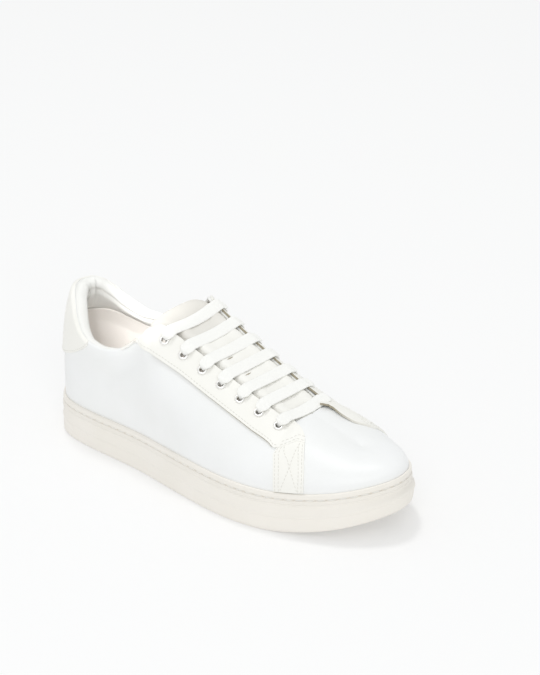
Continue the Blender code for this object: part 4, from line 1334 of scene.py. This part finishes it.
for side, name in SIDES:
    lower, _, front, corner = panel_lines[side]
    edge, seam = lower[:-33], lower[-33:]
    sew(f"eyestay_seam_{name}", edge[2:] + np.array([0.0, EYESTAY_SEAM]), OUTER + SEAM_LIES)
    for number, rise in enumerate(END_SEAMS, 1):
        sew(f"end_seam_{name}_{number}", seam[2:-1] + np.array([0.0, rise]), OUTER + SEAM_LIES)
    rear, fore = strap_lines[side]
    rows = {}
    for number, share in enumerate(STRAP_SEAMS, 1):
        rows[f"strap_seam_{name}_{number}"] = (rear * (1 - share) + fore * share)[:-6]
    for number, (at_foot, at_top) in enumerate(STRAP_CROSS, 1):
        share = np.linspace(at_foot, at_top, 72)[:, None]
        rows[f"strap_cross_{name}_{number}"] = rear[2:74] * (1 - share) + fore[2:74] * share
    for row_name, row in rows.items():
        sew(row_name, row, OUTER - SKIVED + SEAM_LIES)
sew("tab_seam", tab_low + np.array([0.0, TAB_SEAM]), OUTER + SEAM_LIES)


# ---- Eyelets ----
# Stamped brass, nickel-plated: each is pushed through eyestay and wall and its
# edge is rolled over on the outside.
BORE = 1.9                  # these three are radii
BARREL = 2.3
FLANGE = 3.5

# nickel plate: bright, worn dull in specks drawn 0.7 mm apart so that they show
nickel, tree, shader = blank("bright nickel plate", Base_Color=linear("#fbfaf8"), Metallic=1.0)
spot = add(tree, "ShaderNodeTexCoord")
wear = add(
    tree, "ShaderNodeTexNoise", {"Scale": 1500.0, "Detail": 3.0}, {"Vector": spot.outputs["Object"]}
)
dull = add(tree, "ShaderNodeMapRange", {"To Min": 0.30, "To Max": 0.48}, {"Value": wear.outputs["Fac"]})
tree.links.new(dull.outputs["Result"], shader.inputs["Roughness"])

seat_top = OUTER + 0.1
profile = np.array([
    (BARREL, -WALL),
    (BARREL, seat_top - 0.3),
    (BARREL + 0.3, seat_top),
    (FLANGE - 0.25, seat_top),
    (FLANGE, seat_top + 0.2),
    (FLANGE - 0.1, seat_top + 0.55),
    (FLANGE - 0.5, seat_top + 0.85),
    (FLANGE - 0.95, seat_top + 0.92),
    (BORE + 0.3, seat_top + 0.72),
    (BORE + 0.05, seat_top + 0.3),
    (BORE, seat_top - 0.4),
    (BORE, -WALL),
    (BARREL, -WALL),
])
ring_turns = np.linspace(0, 2 * math.pi, 33)
for side, name in SIDES:
    for number, (centre, way) in enumerate(zip(seat_points[side], seat_normals[side]), 1):
        sideways = np.cross(way, [1.0, 0.0, 0.0])
        sideways /= np.linalg.norm(sideways)
        other = np.cross(way, sideways)
        spoke = np.cos(ring_turns)[:, None] * sideways + np.sin(ring_turns)[:, None] * other
        rings = centre + profile[:, None, :1] * spoke + profile[:, None, 1:] * way
        eyelet = laid_sheet(f"rolled_eyelet_{name}_{number}", rings[::-1], closed=True)
        keep(eyelet, nickel, "eyelet metal", f"eyelet_{name}_{number}")


# ---- Laces ----
# One flat lace of tubular woven cotton and polyester, 9 mm wide. It is bar laced:
# each bar gathers as it goes down into its eyelets, and the runs between the bars
# lie hidden between the wall and the tongue.
LACE_WIDTH = 9.4
LACE_THICKNESS = 1.4
# how each bar was pulled: how far it bows, leans forward and sinks at its middle,
# and by how many degrees it twists
BARS = table(
    "bow lean sink twist",
    (0.03, 2.0, 1.2, 3.0),
    (0.04, 1.4, 0.7, -2.0),
    (0.08, 0.7, 0.3, 3.0),
    (0.10, 0.3, 0.2, -3.0),
    (0.10, 0.4, 0.1, 2.0),
    (0.10, 0.2, 0.1, -2.0),
    (0.08, 2.2, 0.8, 3.0),
)
# the way out of an eyelet, over its rolled edge and down onto the eyestay: how far
# towards the throat and how high over the wall's face
WAY_OUT = table(
    "along lift",
    (0.98, -2.6),
    (0.98, -0.4),
    (1.02, 1.3),
    (1.25, 2.5),
    (2.10, 3.3),
    (3.50, 3.45),
    (5.40, 3.0),
    (7.20, 2.6),
    (9.00, 2.4),
)
# how the lace gathers on its way from its hidden end to the open
GATHERED = table(
    "along width",
    (0.0, 2.6),
    (3.9, 2.8),
    (4.8, 3.5),
    (5.6, 4.9),
    (6.6, 7.3),
    (7.8, 8.6),
    (9.4, LACE_WIDTH),
    (99.0, LACE_WIDTH),
)
GATHERED_THICKNESS = 1.5

# woven polyester and cotton: warm white, matte, a diamond weave 0.9 mm across
weave, tree, shader = blank("tubular woven lace", Roughness=0.8, Sheen_Weight=0.25)
place_on = add(tree, "ShaderNodeTexCoord")
turned = add(
    tree, "ShaderNodeMapping", {"Rotation": (0.0, 0.0, math.radians(45))},
    {"Vector": place_on.outputs["UV"]},
)
one_way, other_way = (
    add(
        tree, "ShaderNodeTexWave", {"Scale": 350.0, "Distortion": 0.4, "Detail": 1.0},
        {"Vector": turned.outputs["Vector"]}, bands_direction=way,
    )
    for way in "XY"
)
crossed = add(
    tree, "ShaderNodeMath", None, {0: one_way.outputs["Fac"], 1: other_way.outputs["Fac"]},
    operation="MULTIPLY",
)
tint = add(tree, "ShaderNodeValToRGB", None, {"Fac": crossed.outputs["Value"]})
tint.color_ramp.elements[0].color = linear("#fbfbf7")
tint.color_ramp.elements[1].color = linear("#fefefc")
tree.links.new(tint.outputs["Color"], shader.inputs["Base Color"])
relief = add(
    tree, "ShaderNodeBump", {"Strength": 0.6, "Distance": 0.0003}, {"Height": crossed.outputs["Value"]}
)
tree.links.new(relief.outputs["Normal"], shader.inputs["Normal"])


def flat_lace(name, path, run, widths, thicks):
    """Loft a flat lace along a path, its width lying along run."""
    turns = np.linspace(0, 2 * math.pi, 21)
    ring_x = np.sign(np.cos(turns)) * abs(np.cos(turns)) ** 0.55
    ring_z = np.sign(np.sin(turns)) * abs(np.sin(turns)) ** 0.75
    heading = np.gradient(path, axis=0)
    heading /= np.linalg.norm(heading, axis=1)[:, None]
    run = run - heading * (run * heading).sum(1)[:, None]
    run /= np.linalg.norm(run, axis=1)[:, None]
    up = np.cross(run, heading)
    rings = (
        path[:, None]
        + run[:, None] * (ring_x * widths[:, None] / 2)[..., None]
        + up[:, None] * (ring_z * thicks[:, None] / 2)[..., None]
    )
    made = laid_sheet(name, rings)
    close_ends(made)
    return made


for number in range(EYELETS):
    low, high = max(number - 1, 0), min(number + 1, EYELETS - 1)
    run = sum(seat_points[side][high] - seat_points[side][low] for side in (1, -1))
    run /= np.linalg.norm(run)
    halves = []
    for side in (1, -1):
        angle, v = seats[side][0][number], seats[side][1][number]
        rising = v + (1 - v) * WAY_OUT["along"] / EYELET_INSET
        ground, ways = (field[0] for field in skin([angle], rising))
        ways[:5] = seat_normals[side][number]
        halves.append(ground + ways * WAY_OUT["lift"][:, None])
    span = np.linalg.norm(halves[1][-1] - halves[0][-1])
    bow = BARS["bow"][number]
    pulls = [pull_from(points, span * bow) for points in halves]
    middle = bridge(halves[0][-1], halves[1][-1], *pulls, np.linspace(0, 1, 17)[1:-1])
    path = np.concatenate([halves[0], middle, halves[1][::-1]])
    run_at = length_along(path)
    fine = np.linspace(0, run_at[-1], 110)
    route = np.stack([smooth(run_at, path[:, k])(fine) for k in range(3)], -1)
    share = fine / run_at[-1]
    swing = (np.sin(math.pi * share) ** 2)[:, None]
    route += run * BARS["lean"][number] * swing - np.array([0.0, 0.0, BARS["sink"][number]]) * swing
    end = np.minimum(fine, run_at[-1] - fine)
    widths = steady(GATHERED["along"], GATHERED["width"])(end)
    thicks = np.interp(end, (6.0, 9.0), (GATHERED_THICKNESS, LACE_THICKNESS))
    lean = np.radians(BARS["twist"][number]) * np.sin(2 * math.pi * share)
    ways = np.repeat(run[None], 110, 0) + lean[:, None] * np.array([0.0, 0.0, 1.0])
    bar = flat_lace(f"flat_lace_{number + 1}", route, ways, widths, thicks)
    keep(bar, weave, "off-white lace", f"lace_bar_{number + 1}")
